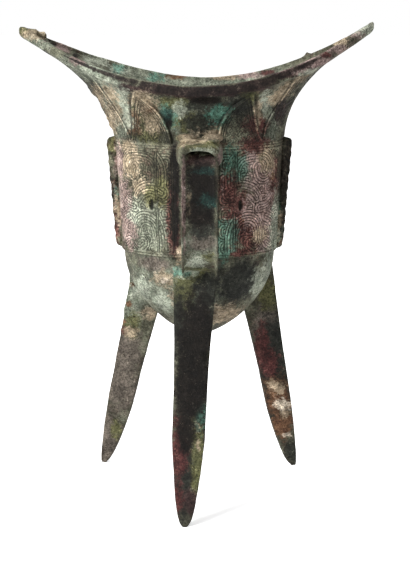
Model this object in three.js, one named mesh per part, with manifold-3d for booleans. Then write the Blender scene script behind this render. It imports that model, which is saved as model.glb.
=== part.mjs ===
// A cast bronze jiao: an oval wine cup on three blade legs, with a strap handle over the front leg,
// a mouth drawn out into two wings, three flanges and taotie masks in low relief.
// Millimetres, +Z up, the wings along X and the handle towards -Y. It is one casting, so it is one solid.
import * as THREE from 'three';
import { mergeVertices } from 'three/addons/utils/BufferGeometryUtils.js';
import Module from 'manifold-3d';

const wasm = await Module();
wasm.setup();

// Heights, stacked from the ground up
const bowlClearance = 71;
const bowlDepth = 39.5;
const bandHeight = 49;
const neckHeight = 24.3;

// The oval body
const bandTopHalfWidth = 36.7;
const bandBottomHalfWidth = 34.2;
const ovalRatio = 0.775;
const bandStep = 1;
const wall = 2.6;

// How far the middle of the neck stands towards the left wing
const neckSway = 0.8;

// The mouth and its two wings
const mouthHalfDepth = 34.9;
const lipHeight = 4.6;
const lipStep = 0.8;
const lipThickness = 3;
const lipDepth = 1.6;
const wingTipSolid = 5;
const leftWing = { reach: 78.2, rise: 23.8, curve: 1.8 };
const rightWing = { reach: 74.8, rise: 26.2, curve: 2 };

// Legs, whose flat outer faces lean out to the feet
const footRadius = 54;
const shoulderRadius = 33;
const shoulderHeight = 100;
const legWidth = 14.2;
const legWidthFlare = 5.4;
const legDepth = 9.3;
const legDepthGain = 6.8;
const legRidge = 1.6;
const legWaistShare = 0.62;
const tipLength = 40;
const tipCurve = 0.38;
const footFlatWidth = 3;
const footFlatDepth = 2.7;
const tripodTurn = 0.5;

// Where each leg stands, and how far it is pushed sideways at the floor and at the band
const legs = {
  front: { angle: 0, footShift: -3.6, topShift: 0 },
  right: { angle: 120, footShift: -2.5, topShift: 0 },
  left: { angle: 240, footShift: -1.3, topShift: 2.3 },
};

// Handle
const strapWidth = 15.3;
const strapThickness = 4.2;
const strapDish = 1.4;
const strapEdge = 1.5;
const fingerGap = 18;
const handleTurn = 3.5;
const headWidth = 19.6;
const headHeight = 10.5;
const headRise = 2.8;
const headNose = 1.4;

// Flanges
const flangeThickness = 3.6;
const flangeTopDepth = 4;
const flangeBottomDepth = 2.7;
const flangeCorner = 3;
const flangeRaise = 0.5;

// Low relief
const maskLift = 0.8;
const maskBandWidth = 3.3;
const eyeHalfWidth = 3.4;
const eyeHalfHeight = 3.9;
const pupilHalfWidth = 1.1;
const pupilHalfHeight = 2.6;
const bladeLift = 0.6;
const bladeEdgeWidth = 1.3;
const borderHeight = 1.6;
const reliefRoot = 1.2;

// How finely the round surfaces are faceted
const outsideColumns = 48;
const cavityColumns = 36;

const bandBottom = bowlClearance + bowlDepth;
const bandTop = bandBottom + bandHeight;
const rimWaist = bandTop + neckHeight;
const bodyFront = bandTopHalfWidth * ovalRatio;

const radians = THREE.MathUtils.degToRad;
const at = (x, y, z) => new THREE.Vector3(x, y, z);

// Angles run round the body from the front, 0, through the right wing, 90, to the back, 180
function onOval(angle, halfWidth, halfDepth, z) {
  return at(halfWidth * Math.sin(radians(angle)), -halfDepth * Math.cos(radians(angle)), z);
}

function bandHalfWidth(z) {
  const share = (z - bandBottom) / bandHeight;
  return THREE.MathUtils.lerp(bandBottomHalfWidth, bandTopHalfWidth, share);
}

function bandPoint(angle, z, lift) {
  const halfWidth = bandHalfWidth(z);
  return onOval(angle, halfWidth + lift, halfWidth * ovalRatio + lift, z);
}

function rimHeight(x) {
  const wing = x < 0 ? leftWing : rightWing;
  return rimWaist + wing.rise * Math.pow(Math.min(1, Math.abs(x) / wing.reach), wing.curve);
}

// A point on the lemon-shaped mouth, set in from its edge and below it
function rimPoint(angle, inset, tipInset, drop) {
  const wing = Math.sin(radians(angle)) < 0 ? leftWing : rightWing;
  const share = Math.abs(Math.sin(radians(angle)));
  const x = Math.sign(Math.sin(radians(angle))) * (wing.reach - tipInset) * share;
  const depth = (mouthHalfDepth - inset) * Math.pow(1 - Math.pow(share, 3), 1.2);
  return at(x, -Math.sign(Math.cos(radians(angle))) * depth, rimHeight(x) - drop);
}

// The flare of the neck: slow at first, then out into the lip and the wings
const flare = (share) => 0.5 * Math.pow(share, 1.5) + 0.5 * Math.pow(share, 3);
const sway = (share) => neckSway * Math.sin(Math.PI * share);

function neckPoint(angle, share, lift) {
  const foot = bandPoint(angle, bandTop, lift);
  const head = rimPoint(angle, lipStep - lift, lipStep - lift, lipHeight);
  return at(
    THREE.MathUtils.lerp(foot.x, head.x, flare(share)) - sway(share),
    THREE.MathUtils.lerp(foot.y, head.y, flare(share)),
    THREE.MathUtils.lerp(foot.z, head.z, share)
  );
}

// An egg-shaped bottom, as a share of the half-width at a share of its depth
const bowlSwell = (depthShare) => Math.pow(Math.max(0, 1 - depthShare * depthShare), 0.7);
const bowlShares = [0.985, 0.93, 0.82, 0.66, 0.45, 0.22];

const angles = (count) => Array.from({ length: count }, (_, i) => (360 * i) / count);
const steps = (count) => Array.from({ length: count }, (_, i) => (i + 1) / count);

// Joins rings of points into one closed skin. Each end closes on a point, or, when it is ruled, straight across in Y.
function skin(rings, { startAt, endRuled = false } = {}) {
  const around = rings[0].length;
  const points = rings.flat();
  const faces = [];
  const quad = (a, b, c, d) => faces.push(a, b, c, a, c, d);
  for (let r = 0; r + 1 < rings.length; r++) {
    for (let i = 0; i < around; i++) {
      const next = (i + 1) % around;
      quad(r * around + i, r * around + next, (r + 1) * around + next, (r + 1) * around + i);
    }
  }
  const last = (rings.length - 1) * around;
  const startPoint = points.push(startAt ?? middle(rings[0])) - 1;
  for (let i = 0; i < around; i++) faces.push(startPoint, (i + 1) % around, i);
  if (endRuled) {
    closeStraightAcross(faces, last, around);
  } else {
    const endPoint = points.push(middle(rings.at(-1))) - 1;
    for (let i = 0; i < around; i++) faces.push(endPoint, last + i, last + ((i + 1) % around));
  }
  return solidOf(points, faces);
}

// Ring points i and half - i share their x, so faces between them run level in Y
function closeStraightAcross(faces, last, around) {
  const half = around / 2;
  const quarter = around / 4;
  for (let i = -quarter; i < quarter; i++) {
    const [a, b] = [i, i + 1].map((k) => last + ((k + around) % around));
    const [c, d] = [half - i - 1, half - i].map((k) => last + ((k + around) % around));
    if (b !== c) faces.push(a, b, c);
    if (d !== a) faces.push(a, c, d);
  }
}

function middle(points) {
  return points.reduce((sum, p) => sum.add(p), at(0, 0, 0)).divideScalar(points.length);
}

function solidOf(points, faces) {
  const make = (triVerts) => new wasm.Manifold(new wasm.Mesh({
    numProp: 3,
    vertProperties: new Float32Array(points.flatMap((p) => [p.x, p.y, p.z])),
    triVerts: new Uint32Array(triVerts),
  }));
  const made = make(faces);
  return made.volume() < 0 ? make(faces.toReversed()) : made;
}

function solidFromGeometry(geometry) {
  geometry.deleteAttribute('normal');
  geometry.deleteAttribute('uv');
  const merged = mergeVertices(geometry, 1e-4);
  const place = merged.getAttribute('position');
  const points = Array.from({ length: place.count }, (_, i) => at(0, 0, 0).fromBufferAttribute(place, i));
  return solidOf(points, Array.from(merged.index.array));
}

function outside() {
  const round = angles(outsideColumns);
  const bowl = bowlShares.map((share) => {
    const halfWidth = (bandBottomHalfWidth - bandStep) * bowlSwell(share);
    return round.map((angle) => onOval(angle, halfWidth, halfWidth * ovalRatio, bandBottom - bowlDepth * share));
  });
  const bowlTop = bandBottomHalfWidth - bandStep;
  const rings = [
    ...bowl,
    round.map((angle) => onOval(angle, bowlTop, bowlTop * ovalRatio, bandBottom - bandStep / 2)),
    round.map((angle) => bandPoint(angle, bandBottom, 0)),
    round.map((angle) => bandPoint(angle, bandTop, 0)),
    ...steps(6).map((share) => round.map((angle) => neckPoint(angle, share, 0))),
    round.map((angle) => rimPoint(angle, 0, 0, lipHeight)),
    round.map((angle) => rimPoint(angle, 0, 0, 0)),
  ];
  return skin(rings, { startAt: at(0, 0, bowlClearance), endRuled: true });
}

// The hollow of the cup, which runs on above the mouth
function cavity() {
  const round = angles(cavityColumns);
  const innerBottom = bandBottomHalfWidth - wall;
  const innerTop = bandTopHalfWidth - wall;
  const depth = bowlDepth - wall * 1.2;
  const ring = (halfWidth, z) => {
    const halfDepth = halfWidth + wall - wall / ovalRatio;
    return round.map((angle) => onOval(angle, halfWidth, halfDepth * ovalRatio, z));
  };
  const bowl = bowlShares.map((share) => ring(innerBottom * bowlSwell(share), bandBottom - depth * share));
  const collar = ring(innerTop, bandTop);
  const mouth = round.map((angle) => rimPoint(angle, lipThickness, wingTipSolid, lipDepth));
  const neck = steps(5).map((share) => round.map((angle, i) => at(
    THREE.MathUtils.lerp(collar[i].x, mouth[i].x, flare(share)) - sway(share),
    THREE.MathUtils.lerp(collar[i].y, mouth[i].y, flare(share)),
    THREE.MathUtils.lerp(collar[i].z, mouth[i].z, share)
  )));
  const above = mouth.map((p) => at(p.x, p.y, p.z + neckHeight));
  const rings = [...bowl, ring(innerBottom, bandBottom), collar, ...neck, above];
  return skin(rings, { startAt: at(0, 0, bandBottom - depth) });
}

// A leg is a three-sided blade: a flat outer face, two flat sides and a blunt inner ridge
function leg({ angle, footShift, topShift }) {
  const top = bandBottom - bandStep;
  const levels = [0, 0.015, 0.06, 0.16, 0.36, 0.65, 1].map((share) => share * tipLength);
  levels.push(...steps(5).map((share) => THREE.MathUtils.lerp(tipLength, top, share)));
  const rings = levels.map((z) => {
    const tip = Math.pow(Math.min(1, z / tipLength), tipCurve);
    const rise = Math.max(0, (z - tipLength) / (top - tipLength));
    const width = Math.max(footFlatWidth, legWidth * tip) + legWidthFlare * rise * rise;
    const depth = Math.max(footFlatDepth, legDepth * tip) + legDepthGain * rise;
    const face = THREE.MathUtils.lerp(footRadius, shoulderRadius, z / shoulderHeight);
    const shift = THREE.MathUtils.lerp(footShift, topShift, z / top);
    const waist = (width * legWaistShare) / 2;
    const section = [
      [-width / 2, 0],
      [width / 2, 0],
      [waist, -depth / 2],
      [legRidge / 2, -depth],
      [-legRidge / 2, -depth],
      [-waist, -depth / 2],
    ];
    return section.map(([across, out]) => {
      const p = at(across, -(face + out), z).applyAxisAngle(at(0, 0, 1), radians(angle + tripodTurn));
      return p.add(at(shift, 0, 0));
    });
  });
  return skin(rings);
}

// The strap leaves the body below the band's top, drops and turns back in above the front leg
const strapTop = bandTop - strapThickness;
const strapBottom = bandBottom - bandStep * 2;

function strap() {
  const out = bodyFront + fingerGap + strapThickness / 2;
  const onPath = (inShare, dropShare) => (
    at(0, -(out - inShare * fingerGap), THREE.MathUtils.lerp(strapTop, strapBottom, dropShare))
  );
  const anchored = (out - bodyFront + wall) / fingerGap;
  const path = new THREE.CatmullRomCurve3([
    onPath(anchored, 0),
    onPath(0.62, -0.01),
    onPath(0.17, 0.05),
    onPath(0, 0.2),
    onPath(0.02, 0.5),
    onPath(0.17, 0.77),
    onPath(0.52, 0.93),
    onPath(anchored, 1),
  ], false, 'centripetal');
  const count = 14;
  const rings = [0, ...steps(count)].map((share) => {
    const p = path.getPointAt(share);
    const along = path.getTangentAt(share);
    const outward = along.cross(at(1, 0, 0)).normalize();
    const side = strapWidth / 2;
    const face = strapThickness / 2;
    const section = [
      [-side, -face],
      [side, -face],
      [side, face],
      [side - strapEdge, face],
      [side - strapEdge * 1.8, face - strapDish],
      [-side + strapEdge * 1.8, face - strapDish],
      [-side + strapEdge, face],
      [-side, face],
    ];
    return section.map(([across, out]) => p.clone().add(at(across, 0, 0)).addScaledVector(outward, out));
  });
  return skin(rings);
}

// A worn animal head caps the strap: a broad brow, a muzzle arched over the strap's channel, two ears laid back
function head() {
  const back = bodyFront - wall;
  const front = bodyFront + fingerGap + strapThickness + headNose;
  const crownHeight = bandTop + headRise;
  const rings = [0, 0.3, 0.55, 0.75, 0.9, 1].map((share) => {
    const bow = Math.pow(Math.max(0, (share - 0.3) / 0.7), 2);
    const y = -THREE.MathUtils.lerp(back, front, share);
    const crown = crownHeight - headHeight * 0.42 * bow;
    const cheek = crownHeight - headHeight * (0.5 + 0.12 * bow);
    const chin = crownHeight - headHeight;
    const side = (headWidth / 2) * (1 - 0.1 * bow);
    return [
      at(-side, y, chin),
      at(-side * 0.75, y, chin + headHeight * 0.08),
      at(-side * 0.42, y, chin + headHeight * 0.36),
      at(side * 0.42, y, chin + headHeight * 0.36),
      at(side * 0.75, y, chin + headHeight * 0.08),
      at(side, y, chin),
      at(side, y, cheek),
      at(side * 0.7, y, crown - headHeight * 0.06),
      at(side * 0.25, y, crown),
      at(-side * 0.25, y, crown),
      at(-side * 0.7, y, crown - headHeight * 0.06),
      at(-side, y, cheek),
    ];
  });
  return join([skin(rings), ear(-1, crownHeight), ear(1, crownHeight)]);
}

function ear(side, crownHeight) {
  const shape = new THREE.SphereGeometry(1, 8, 6);
  shape.scale(headWidth * 0.16, fingerGap * 0.32, headHeight * 0.17);
  shape.rotateZ(side * radians(-24));
  shape.translate(side * headWidth * 0.3, -(bodyFront + fingerGap * 0.38), crownHeight - headHeight * 0.07);
  return solidFromGeometry(shape);
}

// A flange drawn in the plane that it stands in, with its outer corners cut back
function flange(angle) {
  const body = angle % 180 === 0 ? ovalRatio : 1;
  const outer = (z) => {
    const share = (z - bandBottom) / bandHeight;
    return bandHalfWidth(z) * body + THREE.MathUtils.lerp(flangeBottomDepth, flangeTopDepth, share);
  };
  const inner = (z) => bandHalfWidth(z) * body - reliefRoot;
  const low = bandBottom + flangeRaise;
  const high = bandTop + flangeRaise;
  const shape = new THREE.Shape();
  shape.moveTo(inner(low), low);
  shape.lineTo(inner(low) + reliefRoot, low);
  shape.lineTo(outer(low + flangeCorner), low + flangeCorner);
  shape.lineTo(outer(high - flangeCorner), high - flangeCorner);
  shape.lineTo(outer(high) - flangeCorner / 2, high);
  shape.lineTo(inner(high), high);
  shape.closePath();
  const plate = new THREE.ExtrudeGeometry(shape, { depth: flangeThickness, bevelEnabled: false });
  plate.translate(0, 0, -flangeThickness / 2);
  plate.rotateX(Math.PI / 2);
  plate.rotateZ(radians(angle - 90));
  return solidFromGeometry(plate);
}

// A raised ribbon laid on a surface; the surface is a function of (u, v, lift)
function ribbon(surface, stops, width, lift, count) {
  const path = new THREE.CatmullRomCurve3(stops.map(([u, v]) => at(u, v, 0)), false, 'catmullrom', 0.5);
  const places = [0, ...steps(count)].map((share) => path.getPoint(share));
  const on = places.map((p) => surface(p.x, p.y, 0));
  const up = places.map((p) => surface(p.x, p.y, 1).sub(surface(p.x, p.y, 0)).normalize());
  const rings = on.map((p, i) => {
    const along = on[Math.min(i + 1, count)].clone().sub(on[Math.max(i - 1, 0)]).normalize();
    const across = up[i].clone().cross(along).normalize();
    const end = i === 0 || i === count ? 0.55 : 1;
    const section = [
      [-0.5, -reliefRoot],
      [0.5, -reliefRoot],
      [0.36, lift],
      [-0.36, lift],
    ];
    return section.map(([side, rise]) => (
      p.clone().addScaledVector(across, side * width * end).addScaledVector(up[i], rise)
    ));
  });
  return skin(rings);
}

// An oval boss on the band, with or without a sunk middle
function boss(angle, z, halfWidth, halfHeight, low, high) {
  const centre = bandPoint(angle, z, 0);
  const up = bandPoint(angle, z, 1).sub(centre).normalize();
  const across = at(0, 0, 1).cross(up).normalize();
  const loop = (scale, rise) => angles(12).map((turn) => centre.clone()
    .addScaledVector(across, halfWidth * scale * Math.cos(radians(turn)))
    .add(at(0, 0, halfHeight * scale * Math.sin(radians(turn))))
    .addScaledVector(up, rise));
  return skin([loop(1, low), loop(1, (low + high) / 2), loop(0.72, high)]);
}

// Half a taotie mask, drawn as (angle from the mask's middle, share of the band's height)
const maskHalf = {
  horn: [[26, 0.65], [26, 0.78], [31, 0.88], [42, 0.91], [54, 0.89], [60, 0.81], [57, 0.72], [50, 0.71], [47, 0.78]],
  brow: [[24, 0.57], [32, 0.61], [41, 0.58], [46, 0.52]],
  jaw: [[27, 0.06], [27, 0.2], [31, 0.32], [40, 0.35], [48, 0.29], [51, 0.16], [47, 0.09], [42, 0.12]],
  tail: [[49, 0.43], [59, 0.45], [68, 0.53], [73, 0.67], [72, 0.84], [66.5, 0.89]],
  claw: [[57, 0.35], [66, 0.3], [71, 0.18], [66, 0.08], [59, 0.11]],
};
const maskNose = {
  ridge: [[10, 0.41], [11, 0.65], [12, 0.9]],
  snout: [[9, 0.08], [9, 0.24], [14, 0.33], [19, 0.24], [17, 0.12]],
};
const eye = { angle: 32, height: 0.465 };

function maskSolids() {
  const bands = [];
  const eyes = [];
  const pupils = [];
  for (const [middleAngle, features] of [[0, maskHalf], [180, { ...maskHalf, ...maskNose }]]) {
    for (const side of [-1, 1]) {
      const surface = (angle, share, lift) => (
        bandPoint(middleAngle + side * angle, bandBottom + share * bandHeight, lift)
      );
      for (const stops of Object.values(features)) {
        bands.push(ribbon(surface, stops, maskBandWidth, maskLift, stops.length));
      }
      const angle = middleAngle + side * eye.angle;
      const z = bandBottom + eye.height * bandHeight;
      eyes.push(boss(angle, z, eyeHalfWidth, eyeHalfHeight, -reliefRoot, maskLift * 1.6));
      pupils.push(boss(angle, z, pupilHalfWidth, pupilHalfHeight, maskLift * 0.4, maskLift * 3));
    }
  }
  return { bands, eyes, pupils };
}

// Upright blades on the neck, each drawn by its two raised edges
const blades = [
  { middle: 33.5, half: 17, tip: 0.7 },
  { middle: 90, half: 34.5, tip: 0.8 },
  { middle: 146.5, half: 17, tip: 0.7 },
  { middle: 180, half: 13, tip: 0.62 },
];

function bladeSolids() {
  const all = blades.flatMap((blade) => (
    blade.middle === 180 ? [blade] : [blade, { ...blade, middle: -blade.middle }]
  ));
  return all.flatMap(({ middle: centre, half, tip }) => [-1, 1].map((side) => {
    const stops = [0, ...steps(4)].map((share) => {
      const spread = half * (1 - Math.pow(share, 2));
      return [centre + side * Math.max(spread, 0.35), 0.02 + share * tip];
    });
    return ribbon(neckPoint, stops, bladeEdgeWidth, bladeLift, 4);
  }));
}

function border(z) {
  const round = angles(outsideColumns);
  const ring = (lift, height) => round.map((angle) => bandPoint(angle, height, lift));
  const edge = bladeLift * 0.6;
  const rings = [
    ring(-reliefRoot, z - borderHeight / 2),
    ring(edge, z - borderHeight / 3),
    ring(edge, z + borderHeight / 3),
    ring(-reliefRoot, z + borderHeight / 2),
  ];
  return skin(rings);
}

const join = (solids) => solids.reduce((made, next) => made.add(next));

function vessel() {
  const mask = maskSolids();
  const handle = strap().add(head()).rotate([0, 0, handleTurn]);
  const shell = join([
    outside(),
    border(bandTop - borderHeight / 2),
    ...mask.bands,
    ...mask.eyes,
    ...bladeSolids(),
    ...[90, 180, 270].map(flange),
  ]);
  const cut = mask.pupils.reduce((made, pupil) => made.subtract(pupil), shell);
  return join([cut, handle, ...Object.values(legs).map(leg)]).subtract(cavity());
}

function geometryOf(solid) {
  const mesh = solid.getMesh();
  const geometry = new THREE.BufferGeometry();
  const places = new Float32Array(mesh.vertProperties);
  geometry.setAttribute('position', new THREE.BufferAttribute(places, 3));
  geometry.setIndex(new THREE.BufferAttribute(new Uint32Array(mesh.triVerts), 1));
  geometry.computeVertexNormals();
  return geometry;
}

// The origin is on the ground, under the middle of the vessel's box
const bronze = new THREE.MeshStandardMaterial({ color: 0x5d5f50, roughness: 0.7, metalness: 0.6 });
const geometry = geometryOf(vessel());
geometry.computeBoundingBox();
const centre = geometry.boundingBox.getCenter(at(0, 0, 0));
const jiao = new THREE.Mesh(geometry, bronze);
jiao.name = 'jiao_vessel';
jiao.position.set(-centre.x, -centre.y, 0);

const group = new THREE.Group();
group.add(jiao);
export default group;
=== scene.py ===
import math

import bpy
import numpy as np
from mathutils import Matrix, Vector


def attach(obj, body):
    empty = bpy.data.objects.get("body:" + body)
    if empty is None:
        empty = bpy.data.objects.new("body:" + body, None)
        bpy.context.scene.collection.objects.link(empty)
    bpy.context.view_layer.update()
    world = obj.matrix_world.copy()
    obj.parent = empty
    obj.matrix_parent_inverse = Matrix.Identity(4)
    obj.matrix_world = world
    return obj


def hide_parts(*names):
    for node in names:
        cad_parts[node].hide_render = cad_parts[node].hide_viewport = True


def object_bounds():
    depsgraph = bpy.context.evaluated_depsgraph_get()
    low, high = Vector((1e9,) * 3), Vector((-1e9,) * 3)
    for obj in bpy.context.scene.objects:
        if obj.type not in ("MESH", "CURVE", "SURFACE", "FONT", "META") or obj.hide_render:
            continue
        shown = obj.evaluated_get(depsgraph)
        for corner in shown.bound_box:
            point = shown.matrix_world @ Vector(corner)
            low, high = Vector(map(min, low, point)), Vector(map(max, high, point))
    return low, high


# Bronze jiao: one casting, so one mesh. Everything below is drawn in millimetres round the cup's own axis
# and moved into the frame at the end.
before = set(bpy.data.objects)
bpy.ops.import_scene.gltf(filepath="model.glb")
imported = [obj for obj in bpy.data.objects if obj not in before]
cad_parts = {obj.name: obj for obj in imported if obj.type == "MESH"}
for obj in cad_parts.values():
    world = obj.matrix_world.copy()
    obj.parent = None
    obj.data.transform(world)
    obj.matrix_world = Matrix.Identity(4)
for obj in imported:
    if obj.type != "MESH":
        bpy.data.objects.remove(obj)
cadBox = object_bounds()
print("frame loaded")

axisOffset = (1.7, 9.555)   # where the cup's axis stands in the frame

sizes = {
    "bowlClearance": 71.0,
    "bowlDepth": 39.5,
    "bandHeight": 49.0,
    "neckHeight": 24.3,
    "bandTopHalfWidth": 36.7,
    "bandBottomHalfWidth": 34.2,
    "ovalRatio": 0.775,
    "bandStep": 1.0,
    "bandBevel": 0.7,
    "wall": 2.6,
    "mouthHalfDepth": 34.9,
    "lipHeight": 4.6,
    "lipStep": 0.8,
    "lipThickness": 3.0,
    "lipDepth": 1.6,
    "lipRounding": 0.45,
    "wingTipSolid": 5.0,
    "neckSway": 0.8,
    "tipRound": 1.6,
    "slimming": 0.26,      # share of the lip's height that the left wing loses part way out
    "slimmingX": -57.0,
    "slimmingSpread": 13.0,
}
leftWing = {"reach": 78.2, "rise": 23.8, "curve": 1.8}
rightWing = {"reach": 74.8, "rise": 26.2, "curve": 2.0}

bandBottom = sizes["bowlClearance"] + sizes["bowlDepth"]
bandTop = bandBottom + sizes["bandHeight"]
rimWaist = bandTop + sizes["neckHeight"]


def lerp(a, b, share):
    return a + (b - a) * share


def smooth(low, high, x):
    share = np.clip((x - low) / (high - low), 0, 1)
    return share * share * (3 - 2 * share)


def near(distance, full, none):
    # 1 on a line, falling to 0 between two distances from it
    return 1 - smooth(full, none, np.abs(distance))


def lattice(ix, iy, iz):
    mixed = (ix * 374761393 + iy * 668265263 + iz * 2147483647 + 1274126177) & 0xffffffff
    mixed = ((mixed ^ (mixed >> 13)) * 1103515245) & 0xffffffff
    return ((mixed ^ (mixed >> 16)) & 0xffff) / 65535.0 * 2 - 1


def noiseAt(points, scale, seed):
    # smooth noise from -1 to 1, about one bump in each scale millimetres
    place = points / scale + seed * 17.13
    cell = np.floor(place).astype(np.int64)
    part = place - cell
    part = part * part * (3 - 2 * part)
    total = np.zeros(points.shape[:-1])
    for corner in range(8):
        step = (corner & 1, (corner >> 1) & 1, corner >> 2)
        weight = np.prod([part[..., k] if step[k] else 1 - part[..., k] for k in range(3)], axis=0)
        total += weight * lattice(*(cell[..., k] + step[k] for k in range(3)))
    return total


cupMesh = {
    "ornamentStep": 0.22,   # column spacing where the ornament shows
    "plainStep": 0.45,
    "bandStep": 0.23,       # row spacing on the band
    "neckStep": 0.35,
    "bowlStep": 0.7,
    "insideStep": 1.2,
    "bowlLength": 44,                         # along the profile, outside and in
    "neckLength": 34,
    "insideLength": 36,
}
frontZone = (12.0, 90.0)   # degrees each side of the handle that are drawn finely


def bandHalfWidth(z):
    share = (z - bandBottom) / sizes["bandHeight"]
    return lerp(sizes["bandBottomHalfWidth"], sizes["bandTopHalfWidth"], share)


def onOval(angle, halfWidth, halfDepth, z):
    turn = np.radians(angle)
    x, y = halfWidth * np.sin(turn), -halfDepth * np.cos(turn)
    return np.stack([x, y, np.broadcast_to(z, turn.shape)], -1)


def rimHeight(x):
    wing = [np.where(x < 0, leftWing[k], rightWing[k]) for k in ("reach", "rise", "curve")]
    return rimWaist + wing[1] * np.minimum(1, np.abs(x) / wing[0]) ** wing[2]


def rimRing(angle, inset, tipInset, drop):
    sine, cosine = np.sin(np.radians(angle)), np.cos(np.radians(angle))
    reach = np.where(sine < 0, leftWing["reach"], rightWing["reach"])
    share = np.abs(sine)
    x = np.sign(sine) * (reach - tipInset) * share
    depth = (sizes["mouthHalfDepth"] - inset) * np.maximum(0, 1 - share ** 3) ** 1.2
    slim = 1 - sizes["slimming"] * np.exp(-((x - sizes["slimmingX"]) / sizes["slimmingSpread"]) ** 2)
    return np.stack([x, -np.sign(cosine) * depth, rimHeight(x) - drop * slim], -1)


def tipRound(drop):
    # how far the rounded end of a wing draws back at each height of the lip
    return sizes["tipRound"] * (1 - math.sqrt(max(0, 1 - abs(2 * drop / sizes["lipHeight"] - 1) ** 2.6)))


def flare(share):
    return 0.5 * share ** 1.5 + 0.5 * share ** 3


def between(low, high, share):
    ring = lerp(low, high, flare(share))
    ring[:, 0] -= sizes["neckSway"] * math.sin(math.pi * share)
    ring[:, 2] = lerp(low[:, 2], high[:, 2], share)
    return ring


def bowlSwell(depthShare):
    return np.maximum(0, 1 - depthShare ** 2) ** 0.7


def ornamentColumns():
    # angles round the cup, closely spaced where the photo shows the ornament
    stops = [-180, -frontZone[1], -frontZone[0], frontZone[0], frontZone[1], 180]
    steps = [cupMesh["plainStep"], cupMesh["ornamentStep"], cupMesh["plainStep"], cupMesh["ornamentStep"],
             cupMesh["plainStep"]]
    angles = []
    for low, high, step in zip(stops, stops[1:], steps):
        count = max(4, int(round(math.radians(high - low) * 32.0 / step)))
        angles.append(np.linspace(low, high, count, endpoint=False))
    return np.concatenate(angles)


def rows(length, step):
    return np.linspace(0, 1, max(3, int(round(length / step))) + 1)


def cupRings(angle):
    # rings from the bowl's lowest point, up the outside, over the lip and down to the cup's floor
    rings, zones = [], []

    def add(ring, zone):
        rings.append(ring)
        zones.append(zone)

    ratio = sizes["ovalRatio"]
    bowlTop = sizes["bandBottomHalfWidth"] - sizes["bandStep"]
    for turn in np.linspace(0.03, math.pi / 2, int(cupMesh["bowlLength"] / cupMesh["bowlStep"]))[:-1]:
        share = math.cos(turn)
        halfWidth = bowlTop * bowlSwell(share)
        add(onOval(angle, halfWidth, halfWidth * ratio, bandBottom - sizes["bowlDepth"] * share), "bowl")
    for rise, out in ((-0.1, 0.1), (0.0, 0.5), (0.12, 0.8), (0.35, 0.96)):
        halfWidth = bowlTop + sizes["bandStep"] * out
        add(onOval(angle, halfWidth, halfWidth * ratio, bandBottom + rise), "bowl")
    bevel = sizes["bandBevel"]
    for share in rows(sizes["bandHeight"] - bevel, cupMesh["bandStep"]):
        z = bandBottom + bevel + (sizes["bandHeight"] - bevel) * share
        halfWidth = bandHalfWidth(z)
        add(onOval(angle, halfWidth, halfWidth * ratio, z), "band")
    collar = onOval(angle, bandHalfWidth(bandTop), bandHalfWidth(bandTop) * ratio, bandTop)
    underLip = rimRing(angle, sizes["lipStep"], sizes["lipStep"] + sizes["tipRound"], sizes["lipHeight"])
    for share in rows(cupMesh["neckLength"], cupMesh["neckStep"])[1:]:
        add(between(collar, underLip, share), "neck")
    rounding = sizes["lipRounding"]
    for inset, rise in ((0.25, 0.0), (0.05, 0.25), (0.0, 0.7)):
        drop = sizes["lipHeight"] - rise
        add(rimRing(angle, inset, inset + tipRound(drop), drop), "lip")
    for share in (0.3, 0.55, 0.8):
        drop = lerp(sizes["lipHeight"], rounding, share)
        add(rimRing(angle, 0, tipRound(drop), drop), "lip")
    for turn in np.radians([0, 30, 60, 90]):
        inset, drop = rounding * (1 - math.cos(turn)), rounding * (1 - math.sin(turn))
        add(rimRing(angle, inset, inset + tipRound(drop), drop), "lip")
    thick, tip = sizes["lipThickness"], sizes["wingTipSolid"]
    add(rimRing(angle, thick * 0.5, tip * 0.5, 0), "inside")
    for turn in np.radians([0, 45, 90]):
        inset = rounding * math.sin(turn)
        drop = rounding * (1 - math.cos(turn))
        add(rimRing(angle, thick - rounding + inset, tip - rounding + inset, drop), "inside")
    mouth = rimRing(angle, thick, tip, sizes["lipDepth"])

    innerTop = sizes["bandTopHalfWidth"] - sizes["wall"]
    innerBottom = sizes["bandBottomHalfWidth"] - sizes["wall"]

    def innerRing(halfWidth, z):
        halfDepth = halfWidth + sizes["wall"] - sizes["wall"] / ratio
        return onOval(angle, halfWidth, halfDepth * ratio, z)

    innerCollar = innerRing(innerTop, bandTop)
    for share in rows(cupMesh["insideLength"], cupMesh["insideStep"])[::-1]:
        add(between(innerCollar, mouth, share), "inside")
    for share in rows(sizes["bandHeight"], cupMesh["insideStep"] * 1.6)[1:]:
        add(innerRing(lerp(innerTop, innerBottom, share), lerp(bandTop, bandBottom, share)), "inside")
    depth = sizes["bowlDepth"] - sizes["wall"] * 1.2
    for turn in np.linspace(math.pi / 2, 0.05, 18)[1:]:
        share = math.cos(turn)
        add(innerRing(innerBottom * bowlSwell(share), bandBottom - depth * share), "inside")
    return np.array(rings), zones


def closedSkin(rings, flatEnds=False):
    # faces for rings of points; each end is a fan round its middle, or one flat face
    count, around = rings.shape[:2]
    points = rings.reshape(-1, 3)
    here = np.arange(around)
    after = (here + 1) % around
    square = np.stack([here, after, after + around, here + around], -1)
    quads = [square + r * around for r in range(count - 1)]
    last = (count - 1) * around
    if flatEnds:
        return points, np.concatenate(quads).tolist() + [here[::-1].tolist(), (last + here).tolist()]
    points = np.vstack([points, rings[0].mean(0), rings[-1].mean(0)])
    low = np.stack([np.full(around, len(points) - 2), after, here], -1)
    high = np.stack([np.full(around, len(points) - 1), last + here, last + after], -1)
    return points, np.concatenate(quads).tolist() + np.concatenate([low, high]).tolist()


def inScene(name, data):
    piece = bpy.data.objects.new(name, data)
    bpy.context.scene.collection.objects.link(piece)
    return piece


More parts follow.
